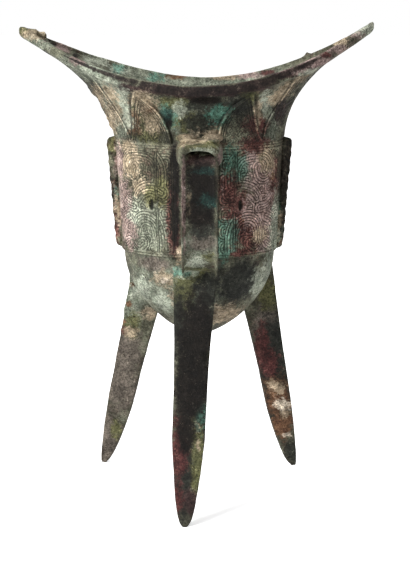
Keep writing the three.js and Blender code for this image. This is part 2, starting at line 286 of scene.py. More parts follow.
def meshFrom(name, points, faces):
    mesh = bpy.data.meshes.new(name)
    mesh.from_pydata(points.tolist(), [], faces)
    mesh.update()
    return inScene(name, mesh)


def ringNormals(rings):
    along = np.roll(rings, -1, 1) - np.roll(rings, 1, 1)
    up = np.gradient(rings, axis=0)
    normal = np.cross(along, up)
    return normal / np.maximum(np.linalg.norm(normal, axis=-1, keepdims=True), 1e-9)


def curveThrough(stops, count):
    # a smooth line through the stops
    stops = np.array(stops, float)
    before = np.vstack([2 * stops[0] - stops[1], stops, 2 * stops[-1] - stops[-2]])
    places = np.linspace(0, len(stops) - 1, count)
    index = np.minimum(places.astype(int), len(stops) - 2)
    t = (places - index)[:, None]
    a, b, c, d = (before[index + k] for k in range(4))
    return 0.5 * (2 * b + (c - a) * t + (2 * a - 5 * b + 4 * c - d) * t ** 2
                  + (3 * b - 3 * c + d - a) * t ** 3)


def distanceTo(line, s, z):
    # distance of each point from a line of joined stretches
    best = np.full(s.shape, 1e9)
    for (ax, az), (bx, bz) in zip(line, line[1:]):
        dx, dz = bx - ax, bz - az
        along = np.clip(((s - ax) * dx + (z - az) * dz) / max(dx * dx + dz * dz, 1e-9), 0, 1)
        best = np.minimum(best, np.hypot(s - ax - along * dx, z - az - along * dz))
    return best


ornament = {
    "lift": 0.42,          # how far the mask's bands stand up
    "bandWidth": 3.3,
    "linePitch": 1.1,      # spacing of the incised lines
    "backPitch": 1.8,
    "lineDepth": 0.3,
    "spiralSpacing": 4.9,
    "rowShare": 0.88,      # spacing of the rows of spirals, as a share of that
    "firstRow": 3.4,       # over the band's foot
    "spiralJitter": 0.3,
    "stripSpacing": 7.2,   # the column of spirals beside the handle
    "firstInStrip": 4.6,
    "plainHalfAngle": 15.5,
    "stripEnd": 28.0,
    "panelLift": 0.55,     # the blades on the neck, and the bead along their edges
    "beadLift": 0.4,
    "topBorder": 3.3,
    "footBorder": 2.2,
    "borderLift": 0.3,
    "sideMargin": 3.0,     # between the ornament and the flange
}
maskHalf = {
    "horn": [(26, 0.65), (26, 0.78), (31, 0.88), (42, 0.91), (54, 0.89), (60, 0.81), (57, 0.72), (50, 0.71),
             (47, 0.78)],
    "brow": [(24, 0.57), (32, 0.61), (41, 0.58), (46, 0.52)],
    "jaw": [(27, 0.06), (27, 0.2), (31, 0.32), (40, 0.35), (48, 0.29), (51, 0.16), (47, 0.09), (42, 0.12)],
    "tail": [(49, 0.43), (59, 0.45), (68, 0.53), (73, 0.67), (72, 0.84), (66.5, 0.89)],
    "claw": [(57, 0.35), (66, 0.3), (71, 0.18), (66, 0.08), (59, 0.11)],
}
maskNose = {
    "ridge": [(10, 0.41), (11, 0.65), (12, 0.9)],
    "snout": [(9, 0.08), (9, 0.24), (14, 0.33), (19, 0.24), (17, 0.12)],
}
eye = {
    "angle": 32,
    "height": 0.465,       # share of the band's height
    "halfWidth": 3.4,
    "halfHeight": 3.9,
    "slotWidth": 1.1,
    "slotHeight": 2.6,
}
neckBlades = {
    "tip": (20.8, 0.93),        # degrees from the front and share of the neck's height
    "inner": (15.3, 4.0),       # where the inner edge starts, and how late it bends to the tip
    "outer": 50.0,
    "sideFoot": 50.0,           # the wide blade under each wing, whose front edge sweeps forward
    "sideLean": 4.0,
    "sideSweep": 12.0,
    "sideCurve": 2.5,
    "rearHalf": 12.0,
    "rearTop": 0.62,
    "edgeLines": (1.15, 2.1, 3.0),
    "beadIn": 0.4,
    "grooveOut": 0.5,
    "curlPitch": 1.4,
    "frontDegree": 0.66,        # millimetres in a degree of the neck's front
}

quarterAngles = np.linspace(0, 90, 181)
quarterTurn = np.radians((quarterAngles[1:] + quarterAngles[:-1]) / 2)
midHalfWidth = (sizes["bandTopHalfWidth"] + sizes["bandBottomHalfWidth"]) / 2
quarterStep = np.hypot(np.cos(quarterTurn), sizes["ovalRatio"] * np.sin(quarterTurn))
quarterArc = np.concatenate([[0], np.cumsum(quarterStep * midHalfWidth * math.radians(0.5))])


def arcAt(angle):
    # millimetres round the band from the middle of the front, or from the middle of the back
    return np.interp(angle, quarterAngles, quarterArc)


def onBand(stops):
    return [(arcAt(a), bandBottom + share * sizes["bandHeight"]) for a, share in stops]


borderLines = (bandTop - 0.6, bandTop - 1.75, bandTop - 2.9, bandBottom + 0.7, bandBottom + 1.8)


def spiralCentres():
    rng = np.random.default_rng(7)
    stripMiddle = arcAt((ornament["plainHalfAngle"] + ornament["stripEnd"]) / 2)
    first = bandBottom + ornament["firstInStrip"]
    centres = [(stripMiddle, first + ornament["stripSpacing"] * k, 1) for k in range(6)]
    spacing, jitter = ornament["spiralSpacing"], ornament["spiralJitter"]
    for row in range(10):
        for column in range(7):
            s = arcAt(ornament["stripEnd"]) + 3 + spacing * (column + 0.5 * (row % 2))
            z = bandBottom + ornament["firstRow"] + spacing * ornament["rowShare"] * row
            if s < quarterArc[-1] - 3.5 and z < bandTop - 5:
                ds, dz = rng.uniform(-jitter, jitter), rng.uniform(-jitter, jitter)
                centres.append((s + ds, z + dz, 1 if row % 2 else -1))
    return centres


def groundSpirals(s, z, pitch):
    # squared spirals, each point belonging to the nearest one. 1 on a ridge, 0 in a groove
    nearest = np.full(s.shape, 1e9)
    value = np.zeros(s.shape)
    for cs, cz, hand in spiralCentres():
        ds, dz = (s - cs) * hand, z - cz
        radius = (np.abs(ds) ** 3 + np.abs(dz) ** 3) ** (1 / 3)
        wave = 0.5 + 0.5 * np.cos(2 * math.pi * radius / pitch - np.arctan2(dz, ds))
        closer = radius < nearest
        value = np.where(closer, wave, value)
        nearest = np.minimum(nearest, radius)
    return value


def bandRelief(angle, z):
    # height of the cast relief over the band's plain surface, and how deep in a line each point lies
    back = np.abs(angle) > 90
    folded = np.where(back, 180 - np.abs(angle), np.abs(angle))
    s = arcAt(folded)
    nearest = np.full(s.shape, 1e9)
    for stops in maskHalf.values():
        nearest = np.minimum(nearest, distanceTo(curveThrough(onBand(stops), 22), s, z))
    for stops in maskNose.values():
        nose = distanceTo(curveThrough(onBand(stops), 12), s, z)
        nearest = np.where(back, np.minimum(nearest, nose), nearest)
    half = ornament["bandWidth"] / 2
    pitch = np.where(back, ornament["backPitch"], ornament["linePitch"])
    raised = near(nearest, half - 0.25, half + 0.15)
    inner = 0.5 + 0.5 * np.cos(2 * math.pi * nearest / pitch)
    echo = 0.5 + 0.5 * np.cos(2 * math.pi * (nearest - half - 0.2) / pitch)
    ground = np.where(nearest < half + 2 * pitch, echo, groundSpirals(s, z, pitch))
    line = lerp(1 - smooth(0.15, 0.55, ground), smooth(0.5, 0.9, inner), raised)

    inPlain = np.where(back, 6.0, ornament["plainHalfAngle"])
    plainEdge = arcAt(inPlain)
    strip = arcAt(ornament["stripEnd"])
    for edge in (plainEdge, strip, quarterArc[-1] - ornament["sideMargin"]):
        gap = np.abs(s - edge)
        line = np.where(gap < 0.75, near(gap - 0.45, 0.15, 0.42), line)
    outside = (s < plainEdge - 0.6) | (s > quarterArc[-1] - ornament["sideMargin"] + 0.8)
    line = np.where(outside, 0, line)
    raised = np.where(s < plainEdge, 0, raised)

    eyeS, eyeZ = arcAt(eye["angle"]), bandBottom + eye["height"] * sizes["bandHeight"]
    boss = np.hypot((s - eyeS) / eye["halfWidth"], (z - eyeZ) / eye["halfHeight"])
    slot = np.hypot((s - eyeS) / eye["slotWidth"], (z - eyeZ) / eye["slotHeight"])
    onEye = near(boss, 0.86, 1.02)
    line = lerp(line, np.where(np.abs(boss - 0.85) < 0.06, 0.5, 0), onEye)
    height = ornament["lift"] * raised
    height = lerp(height, 0.3 + 0.6 * np.sqrt(np.maximum(0, 1 - np.minimum(boss, 1) ** 2)), onEye)
    sunk = near(slot, 0.7, 1.1)

    # the plain border lines under the neck and over the bowl
    edges = np.zeros(z.shape)
    for level in borderLines:
        edges = np.maximum(edges, near(z - level, 0.15, 0.5))
    inBorder = (z > bandTop - ornament["topBorder"]) | (z < bandBottom + ornament["footBorder"])
    line = np.where(inBorder, 0.6 * (1 - edges), line)
    height = np.where(inBorder, ornament["borderLift"] * edges, height)
    wear = 0.7 + 0.3 * noiseAt(np.stack([angle, z, z * 0], -1), 7, 3)
    return height * wear - ornament["lineDepth"] * line * wear - sunk, np.maximum(line * wear, sunk)


def neckRelief(angle, share, perDegree):
    # raised blades, each edged with incised lines that follow its sides
    back = np.abs(angle) > 90
    folded = np.where(back, 180 - np.abs(angle), np.abs(angle))
    tipAngle, tipShare = neckBlades["tip"]
    start, late = neckBlades["inner"]
    up = np.clip(share / tipShare, 0, 1)
    inner = start + (tipAngle - start) * up ** late
    outer = lerp(neckBlades["outer"], tipAngle, up)
    sweep = neckBlades["sideSweep"] * np.clip(share, 0, 1) ** neckBlades["sideCurve"]
    side = neckBlades["sideFoot"] - neckBlades["sideLean"] * share - sweep
    rear = neckBlades["rearHalf"] * (1 - np.clip(share / neckBlades["rearTop"], 0, 1) ** 1.6)
    depth = np.maximum(np.minimum(folded - inner, outer - folded), folded - side)
    depth = np.where(back, np.maximum(depth, rear - folded), depth)
    depth = depth * perDegree
    bead = near(depth - neckBlades["beadIn"], 0.15, 0.6)
    height = ornament["panelLift"] * smooth(-0.25, 0.3, depth) + ornament["beadLift"] * bead
    line = 0.8 * near(depth + neckBlades["grooveOut"], 0.2, 0.8)
    for middle in neckBlades["edgeLines"]:
        line = np.maximum(line, 0.95 * near(depth - middle, 0.12, 0.42))
    across = folded * perDegree
    wander = 0.4 * np.sin(share * 60 + np.sin(across * 1.3))
    curls = 0.5 + 0.5 * np.cos(2 * math.pi * (across / neckBlades["curlPitch"] + wander))
    line = np.maximum(line, smooth(0.5, 0.9, curls) * 0.8 * (depth > 3.4) * (depth < 14))
    fade = (1 - smooth(0.9, 0.98, share)) * smooth(0.0, 0.03, share)
    return (height - ornament["lineDepth"] * line) * fade, line * fade, bead * fade


def makeCup():
    angle = ornamentColumns()
    rings, zones = cupRings(angle)
    zones = np.array(zones)
    normal = ringNormals(rings)
    radial = rings * np.array([1, 1, 0])
    outward = np.sign((normal * radial).sum(-1, keepdims=True).mean())
    normal = normal * outward
    band = np.where(zones == "band")[0]
    height, _ = bandRelief(np.broadcast_to(angle, (len(band), len(angle))), rings[band, :, 2])
    rings[band] += normal[band] * height[..., None]
    neck = np.where(zones == "neck")[0]
    share = np.linspace(0, 1, len(neck) + 1)[1:, None] * np.ones(len(angle))
    step = np.radians(np.gradient(angle))
    perDegree = np.linalg.norm(np.gradient(rings[neck], axis=1), axis=-1) / np.degrees(step)
    height = neckRelief(np.broadcast_to(angle, share.shape), share, np.minimum(perDegree, 0.8))[0]
    rings[neck] += normal[neck] * height[..., None]
    return meshFrom("jiaoVessel", *closedSkin(rings))


def makeCoreCutter():
    # reaches to the middle of the wall, so that legs, handle and flanges end inside the metal
    angle = np.linspace(-180, 180, 72, endpoint=False)
    middle = sizes["wall"] / 2
    rings = []
    for turn in np.linspace(0.1, math.pi / 2, 12):
        share = math.cos(turn)
        halfWidth = (sizes["bandBottomHalfWidth"] - sizes["bandStep"] - middle) * bowlSwell(share)
        z = bandBottom - (sizes["bowlDepth"] - middle) * share
        rings.append(onOval(angle, halfWidth, halfWidth * sizes["ovalRatio"], z))
    halfWidth = sizes["bandTopHalfWidth"] - middle
    halfDepth = sizes["bandTopHalfWidth"] * sizes["ovalRatio"] - middle
    rings.append(onOval(angle, halfWidth, halfDepth, bandTop))
    rings.append(onOval(angle, halfWidth, halfDepth, bandTop + 6))
    return meshFrom("coreCutter", *closedSkin(np.array(rings)))


legShape = {
    "footRadius": 54.0,
    "shoulderRadius": 33.0,
    "shoulderHeight": 100.0,
    "width": 14.2,
    "widthFlare": 5.4,
    "depth": 9.3,
    "depthGain": 6.8,
    "ridge": 1.6,
    "waistShare": 0.62,
    "tipLength": 37.0,
    "tipCurve": 0.38,
    "belly": 1.1,          # how far the ridge bulges inward, and at what height
    "bellyHeight": 27.0,
    "bellySpread": 19.0,
    "footWidth": 1.8,
    "footDepth": 1.7,
    "turn": 0.5,
    "step": 0.9,
}
# angle round the axis, and the sideways push at the floor and at the band
legPlaces = {"frontLeg": (0, -3.6, 0.0), "rightLeg": (120, -2.5, 0.0), "leftLeg": (240, -1.3, 2.3)}


def turned(points, degrees):
    # round the cup's axis
    turn = math.radians(degrees)
    x, y, z = points[..., 0], points[..., 1], points[..., 2]
    sine, cosine = math.sin(turn), math.cos(turn)
    return np.stack([x * cosine - y * sine, x * sine + y * cosine, z], -1)


def roundedLoop(section, times):
    # cuts the corners of a closed outline
    for _ in range(times):
        after = np.roll(section, -1, 0)
        section = np.stack([section * 0.8 + after * 0.2, section * 0.2 + after * 0.8], 1).reshape(-1, 2)
    return section


def makeLeg(name, angle, footShift, topShift):
    top = bandBottom - sizes["bandStep"]
    levels = np.concatenate([[0, 0.1, 0.3, 0.6, 1.0, 1.5], np.arange(2.0, top, legShape["step"]), [top]])
    rings = []
    for z in levels:
        tip = min(1, z / legShape["tipLength"]) ** legShape["tipCurve"]
        rise = max(0, (z - legShape["tipLength"]) / (top - legShape["tipLength"]))
        width = max(legShape["footWidth"], legShape["width"] * tip) + legShape["widthFlare"] * rise ** 2
        depth = max(legShape["footDepth"], legShape["depth"] * tip) + legShape["depthGain"] * rise
        fromBelly = (z - legShape["bellyHeight"]) / legShape["bellySpread"]
        depth += legShape["belly"] * tip * math.exp(-fromBelly ** 2)
        face = lerp(legShape["footRadius"], legShape["shoulderRadius"], z / legShape["shoulderHeight"])
        ridge, waist = legShape["ridge"] / 2, width * legShape["waistShare"] / 2
        crisp = min(0.7, width * 0.1)
        # one half, from the outer face round to the inward ridge
        half = [(width * 0.2, 0.12), (width / 2 - crisp, 0.05), (width / 2, 0),
                (lerp(width / 2, waist, 0.12), -depth * 0.06), (waist, -depth / 2),
                (lerp(ridge, waist, 0.15), -depth * 0.93), (ridge, -depth)]
        mirrored = [(-x, y) for x, y in half[::-1]]
        section = roundedLoop(np.array(mirrored[-3:] + half + mirrored[:-3]), 2)
        ring = np.stack([section[:, 0], -(face + section[:, 1]), np.full(len(section), z)], -1)
        shift = np.array([lerp(footShift, topShift, z / top), 0, 0])
        rings.append(turned(ring, angle + legShape["turn"]) + shift)
    return meshFrom(name, *closedSkin(np.array(rings)))


handleShape = {
    "width": 14.9,
    "thickness": 4.2,
    "dish": 2.2,
    "edge": 0.8,
    "fingerGap": 18.0,
    "turn": 3.5,
    "headWidth": 19.6,
    "headRise": 2.8,
    "headNose": 1.4,
    "browDrop": 0.6,       # from the crown to the front edge
    "archDrop": 2.3,       # from the front edge to the top of the arch
    "cheekDrop": 6.0,
    "cheekSag": 0.5,       # at the front edge
    "headTaper": 0.13,
    "cheekNarrow": 0.07,   # share of the width lost at the foot of the cheeks
    "cheekLean": 1.5,
}
bodyFront = sizes["bandTopHalfWidth"] * sizes["ovalRatio"]


def makeStrap():
    gap, thick = handleShape["fingerGap"], handleShape["thickness"]
    out = bodyFront + gap + thick / 2
    top, bottom = bandTop - thick * 0.4, bandBottom - sizes["bandStep"] * 2
    anchored = (out - bodyFront + sizes["wall"]) / gap
    stops = [(anchored, -0.005), (0.5, -0.01), (0.08, 0.02), (0, 0.15), (0.02, 0.5), (0.15, 0.78),
             (0.42, 0.95), (0.8, 1.04), (anchored, 1.06)]
    path = curveThrough([(-(out - a * gap), lerp(top, bottom, b)) for a, b in stops], 110)
    along = np.gradient(path, axis=0)
    along /= np.linalg.norm(along, axis=1, keepdims=True)
    side, face, edge = handleShape["width"] / 2, thick / 2, handleShape["edge"]
    floor = face - handleShape["dish"]
    # one half, from the inner face out over the edge and down into the channel
    half = [(side * 0.5, -face), (side, -face), (side, 0), (side, face), (side - edge * 0.7, face),
            (side - edge * 1.7, floor + 0.25), (side * 0.4, floor - 0.1)]
    mirrored = [(-x, y) for x, y in half]
    section = mirrored[1::-1] + [(0, -face)] + half + [(0, floor - 0.15)] + mirrored[:1:-1]
    section = roundedLoop(np.array(section, float), 2)
    rings = []
    for (y, z), (dy, dz) in zip(path, along):
        # outward is square to the path, away from the cup
        rings.append(np.stack([section[:, 0], y + section[:, 1] * dz, z - section[:, 1] * dy], -1))
    return meshFrom("strap", *closedSkin(turned(np.array(rings), handleShape["turn"]), flatEnds=True))


def makeHead():
    # a hood over the top of the strap, with the strap's channel running out under its arched front edge
    half = handleShape["headWidth"] / 2
    back = bodyFront - sizes["wall"]
    front = bodyFront + handleShape["fingerGap"] + handleShape["thickness"] + handleShape["headNose"]
    crownHeight = bandTop + handleShape["headRise"]
    rings = []
    for share in np.concatenate([np.linspace(0, 0.9, 14), [0.94, 0.97, 0.99, 1.0]]):
        y = -lerp(back, front, share)
        bow = max(0, (share - 0.35) / 0.65)
        rounded = math.sqrt(max(0, 1 - max(0, (share - 0.9) / 0.1) ** 2))
        crown = crownHeight - handleShape["browDrop"] * bow ** 1.4 - 0.9 * (1 - rounded)
        arch = crownHeight - handleShape["browDrop"] - handleShape["archDrop"]
        cheek = arch - handleShape["cheekDrop"] - handleShape["cheekSag"] * bow
        side = half * (1 - handleShape["headTaper"] * bow ** 2) - 0.5 * (1 - rounded)
        bend = [(0.84, 0.0), (0.83, 0.4), (0.72, 0.74), (0.43, 0.95), (0.0, 1.0)]
        under = [(side * a, lerp(cheek, arch, b)) for a, b in bend]
        over = [(0.97, 0.0), (1.0, 0.4), (0.92, 0.76), (0.66, 0.95), (0.3, 1.0)]
        over = [(side * a, lerp(cheek, crown, b)) for a, b in over]
        outline = [(-x, z) for x, z in under] + under[-2::-1] + over + [(-x, z) for x, z in over[::-1]]
        section = roundedLoop(np.array(outline), 2)
        # the cheeks narrow downwards and lie back, so that they run out into the strap's edges
        low = np.clip((crown - section[:, 1]) / (crown - cheek), 0, 1)
        section[:, 0] *= 1 - handleShape["cheekNarrow"] * bow * low ** 2
        lean = handleShape["cheekLean"] * bow ** 2 * low
        rings.append(np.stack([section[:, 0], y + lean, section[:, 1]], -1))
    return meshFrom("head", *closedSkin(turned(np.array(rings), handleShape["turn"]), flatEnds=True))


def makeLump(name, middle, radii, turn):
    # a rounded boss set into another surface
    rings = []
    for polar in np.linspace(0.15, math.pi - 0.15, 12):
        around = np.radians(np.arange(0, 360, 15))
        x, y = radii[0] * math.sin(polar) * np.cos(around), radii[1] * math.sin(polar) * np.sin(around)
        rings.append(np.stack([middle[0] + x * math.cos(turn) - y * math.sin(turn),
                               middle[1] + x * math.sin(turn) + y * math.cos(turn),
                               np.full(len(x), middle[2] - radii[2] * math.cos(polar))], -1))
    return meshFrom(name, *closedSkin(turned(np.array(rings), handleShape["turn"])))


# how far across, how far out from the cup, the rise over the crown, the radii and the turn in degrees
headLumps = {
    "ear": (5.4, 4.2, 0.2, (4.6, 3.4, 1.9), 16),
    "brow": (4.2, 13.0, -0.2, (3.8, 4.6, 1.0), -20),
}


def headFeatures():
    # two low ears laid against the neck, and a flat brow between them
    crown = bandTop + handleShape["headRise"]
    lumps = []
    for name, (across, out, rise, radii, degrees) in headLumps.items():
        for side in (-1, 1):
            middle = (side * across, -(bodyFront + out), crown + rise)
            lumps.append(makeLump(name, middle, radii, side * math.radians(degrees)))
    return lumps


flangeShape = {
    "thickness": 3.6,
    "topDepth": 4.0,
    "bottomDepth": 2.7,
    "corner": 3.0,
    "raise": 0.5,
    "root": 1.6,           # how far it runs into the wall
}


def makeFlange(name, angle):
    ratio = sizes["ovalRatio"] if angle % 180 == 0 else 1
    low, high = bandBottom + flangeShape["raise"], bandTop + flangeShape["raise"]
    half = flangeShape["thickness"] / 2
    sine, cosine = math.sin(math.radians(angle)), math.cos(math.radians(angle))
    outward, across = np.array([sine, -cosine]), np.array([cosine, sine])
    rings = []
    for z in np.linspace(low, high, 70):
        wall = bandHalfWidth(z) * ratio
        share = (z - bandBottom) / sizes["bandHeight"]
        depth = lerp(flangeShape["bottomDepth"], flangeShape["topDepth"], share)
        fromEnd = min(z - low, (high - z) * 1.4)
        corner = flangeShape["corner"]
        if fromEnd < corner:
            depth *= math.sqrt(max(0.02, 1 - (1 - fromEnd / corner) ** 2.2))
        depth += 0.12 * math.sin(z * 1.7) + 0.1 * math.sin(z * 0.9 + angle)
        section = np.array([(-half, wall - flangeShape["root"]), (half, wall - flangeShape["root"]),
                            (half, wall + depth), (-half, wall + depth)])
        section = roundedLoop(np.array([lerp(a, b, t) for a, b in zip(section, np.roll(section, -1, 0))
                                        for t in (0, 0.25, 0.75)]), 2)
        flat = section[:, :1] * across + section[:, 1:] * outward
        rings.append(np.concatenate([flat, np.full((len(flat), 1), z)], 1))
    return meshFrom(name, *closedSkin(np.array(rings)))


def atVertices(mesh, what="co"):
    values = np.empty(len(mesh.vertices) * 3)
    mesh.vertices.foreach_get(what, values)
    return values.reshape(-1, 3)


def store(mesh, name, values):
    mesh.attributes.new(name, "FLOAT", "POINT").data.foreach_set("value", values.astype(np.float32))


def applyAll(piece):
    bpy.context.view_layer.update()
    made = bpy.data.meshes.new_from_object(piece.evaluated_get(bpy.context.evaluated_depsgraph_get()))
    piece.modifiers.clear()
    piece.data = made


def combine(piece, others, operation):
    for other in others:
        step = piece.modifiers.new(other.name, "BOOLEAN")
        step.operation = operation
        step.solver = "MANIFOLD"
        step.object = other
    applyAll(piece)
    for other in others:
        bpy.data.objects.remove(other)
    return piece


corrosion = {
    "pitting": 0.1,        # depths, then the size of the bumps, all in millimetres
    "swell": 0.14,
    "pitSizes": (1.6, 0.8),
    "patchSize": 13,
    "swellSize": 9,
    "crustSize": 2.6,
    "triangles": 188000,
}
# lumps of crust: the middle, radius and height of each, in millimetres
crusts = [
    (-43.0, -4, 171, 5.0, 1.5), (-40.5, -6, 165, 4.0, 1.2), (-47.5, -3, 179, 3.5, 1.1),
    (-73.0, 0, 205.8, 4.4, 1.3), (-69.5, 1, 204.5, 4.4, 1.5), (-66.5, 3, 203.0, 3.8, 2.2),
    (-61.0, -8, 199, 4.0, 0.6), (-55.0, -12, 196, 4.0, 0.6), (46.5, 24, 194.0, 2.2, 1.5),
    (33.5, 14, 73, 2.4, 0.9), (31.0, -29, 187, 3.0, 1.0), (46.0, -22, 191, 2.5, 0.7),
    (-39.5, 0, 137, 3.0, 0.6), (-31.0, 12, 97, 5.0, 0.8), (-34.0, 14, 82, 6.0, 0.8),
    (-35.5, 13, 69, 2.2, 1.3), (-31.5, 11, 88, 1.3, 0.7), (-33.5, 11, 78, 1.2, 0.7),
    (-30.5, 11, 74, 1.3, 0.6), (-37.5, 0, 122, 3.0, 0.5), (2.0, -52, 30, 5.0, 0.5),
    (-1.0, -50, 46, 5.0, 0.5), (-1.5, -54, 18, 4.0, 0.5), (-20.0, -22, 88, 7.0, 0.5),
    (12.0, -23, 84, 6.0, 0.4),
]


def weather(piece):
    # pitting all over, and crust where the photo shows it standing off the outline
    mesh = piece.data
    place, normal = atVertices(mesh), atVertices(mesh, "normal")
    coarse, fine = corrosion["pitSizes"]
    rough = noiseAt(place, coarse, 1) * 0.6 + noiseAt(place, fine, 2) * 0.4
    patchy = smooth(-0.25, 0.45, noiseAt(place, corrosion["patchSize"], 3))
    swell = noiseAt(place, corrosion["swellSize"], 4)
    lift = corrosion["pitting"] * rough * (0.35 + patchy) + corrosion["swell"] * swell
    for *middle, radius, height in crusts:
        away = np.linalg.norm(place - np.array(middle), axis=1) / radius
        close = away < 1.3
        grain = noiseAt(place[close], corrosion["crustSize"], 5)
        bump = near(away[close], 0.35, 1.25) * (0.55 + 0.6 * grain)
        lift[close] += height * np.maximum(0, bump + 0.25 * rough[close] * (away[close] < 1))
    lift *= smooth(0.0, 1.5, place[:, 2])
    mesh.vertices.foreach_set("co", (place + normal * lift[:, None]).ravel())
    mesh.update()


def thinOut(piece, most):
    mesh = piece.data
    mesh.calc_loop_triangles()
    count = len(mesh.loop_triangles)
    if count > most:
        step = piece.modifiers.new("thinOut", "DECIMATE")
        step.ratio = most / count
        step.use_collapse_triangulate = True
        applyAll(piece)
    return len(piece.data.polygons)


def neckAngle(x, rise):
    # degrees round the cup at which the neck's front passes through x
    reach = np.where(x < 0, leftWing["reach"], rightWing["reach"]) - sizes["lipStep"]
    half = lerp(sizes["bandTopHalfWidth"], reach, flare(rise))
    return np.degrees(np.arcsin(np.clip((x + sizes["neckSway"] * np.sin(math.pi * rise)) / half, -1, 1)))


# how far out the band's face starts, where the strap and the neck's ornament start
lineReach = {"face": 0.955, "strap": 2.5, "neck": 0.3}


def markLines(piece):
    # stores how deep in an incised line each point lies, and how far it is on a crest of the relief, where
    # the colour is made lighter: partly rubbed wear, partly painted highlight
    mesh = piece.data
    x, y, z = atVertices(mesh).T
    angle = np.degrees(np.arctan2(x, -y / sizes["ovalRatio"]))
    halfWidth = bandHalfWidth(z)
    outside = np.hypot(x / halfWidth, y / (halfWidth * sizes["ovalRatio"])) > lineReach["face"]
    onStrap = y < -(bodyFront + lineReach["strap"])
    band = outside & (z > bandBottom) & (z < bandTop) & ~onStrap
    depth, crestWearAndHighlight = np.zeros(len(x)), np.zeros(len(x))
    depth[band] = bandRelief(angle[band], z[band])[1]
    patterned = arcAt(ornament["plainHalfAngle"])
    crestWearAndHighlight[band] = (1 - depth[band]) * (np.abs(x[band]) > patterned)
    # the neck's blades, placed by how far up between collar and lip each point lies
    rise = (z - bandTop) / (rimHeight(x) - sizes["lipHeight"] - bandTop)
    neck = (z > bandTop + lineReach["neck"]) & (rise < 1) & (y < 0) & ~onStrap
    scale = np.full(neck.sum(), neckBlades["frontDegree"])
    _, depth[neck], crestWearAndHighlight[neck] = neckRelief(neckAngle(x[neck], rise[neck]), rise[neck], scale)
    store(mesh, "incised", depth)
    store(mesh, "crestWearAndHighlight", crestWearAndHighlight)


# the colours of the patina, from the first laid down to the last: its dark and its light tone, how ragged
# its edge is, how much of what is under it a patch covers, and its roughness. The lip's dark face and some
# patches marked below also stand for painted shade or painted highlight
patina = {
    "darkBronze": ((0.02, 0.018, 0.014), (0.05, 0.044, 0.032), 1.2, 0.9, 0.5),
    "greyGreen": ((0.1, 0.115, 0.082), (0.28, 0.29, 0.225), 2.4, 0.9, 0.7),
    "greyBrown": ((0.105, 0.09, 0.072), (0.19, 0.164, 0.132), 1.6, 0.9, 0.6),
    "olive": ((0.065, 0.067, 0.03), (0.17, 0.165, 0.08), 2.4, 0.9, 0.7),
    "charcoal": ((0.014, 0.015, 0.012), (0.055, 0.058, 0.045), 2.0, 0.95, 0.5),
    "plum": ((0.024, 0.014, 0.014), (0.08, 0.05, 0.044), 2.0, 0.9, 0.55),
    "maroon": ((0.045, 0.016, 0.016), (0.15, 0.062, 0.053), 2.4, 0.9, 0.6),
    "brown": ((0.08, 0.042, 0.025), (0.21, 0.125, 0.072), 2.5, 0.9, 0.65),
    "mauve": ((0.165, 0.115, 0.1), (0.4, 0.32, 0.28), 2.8, 0.85, 0.75),
    "paleGreen": ((0.2, 0.225, 0.17), (0.4, 0.41, 0.325), 2.8, 0.85, 0.8),
    "tan": ((0.19, 0.152, 0.098), (0.43, 0.365, 0.265), 3.1, 0.85, 0.8),
    "turquoise": ((0.035, 0.085, 0.062), (0.14, 0.29, 0.22), 4.2, 0.68, 0.75),
    "chalk": ((0.36, 0.31, 0.23), (0.62, 0.56, 0.45), 3.0, 0.9, 0.85),
    # the lip's dark outer face: partly its patina, partly painted shade
    "lipPatinaAndShade": ((0.01, 0.008, 0.007), (0.05, 0.036, 0.03), 1.8, 0.92, 0.5),
    "black": ((0.005, 0.004, 0.003), (0.02, 0.016, 0.012), 1.5, 0.97, 0.5),
    "deepTeal": ((0.008, 0.019, 0.016), (0.03, 0.07, 0.058), 3.0, 0.8, 0.6),
}
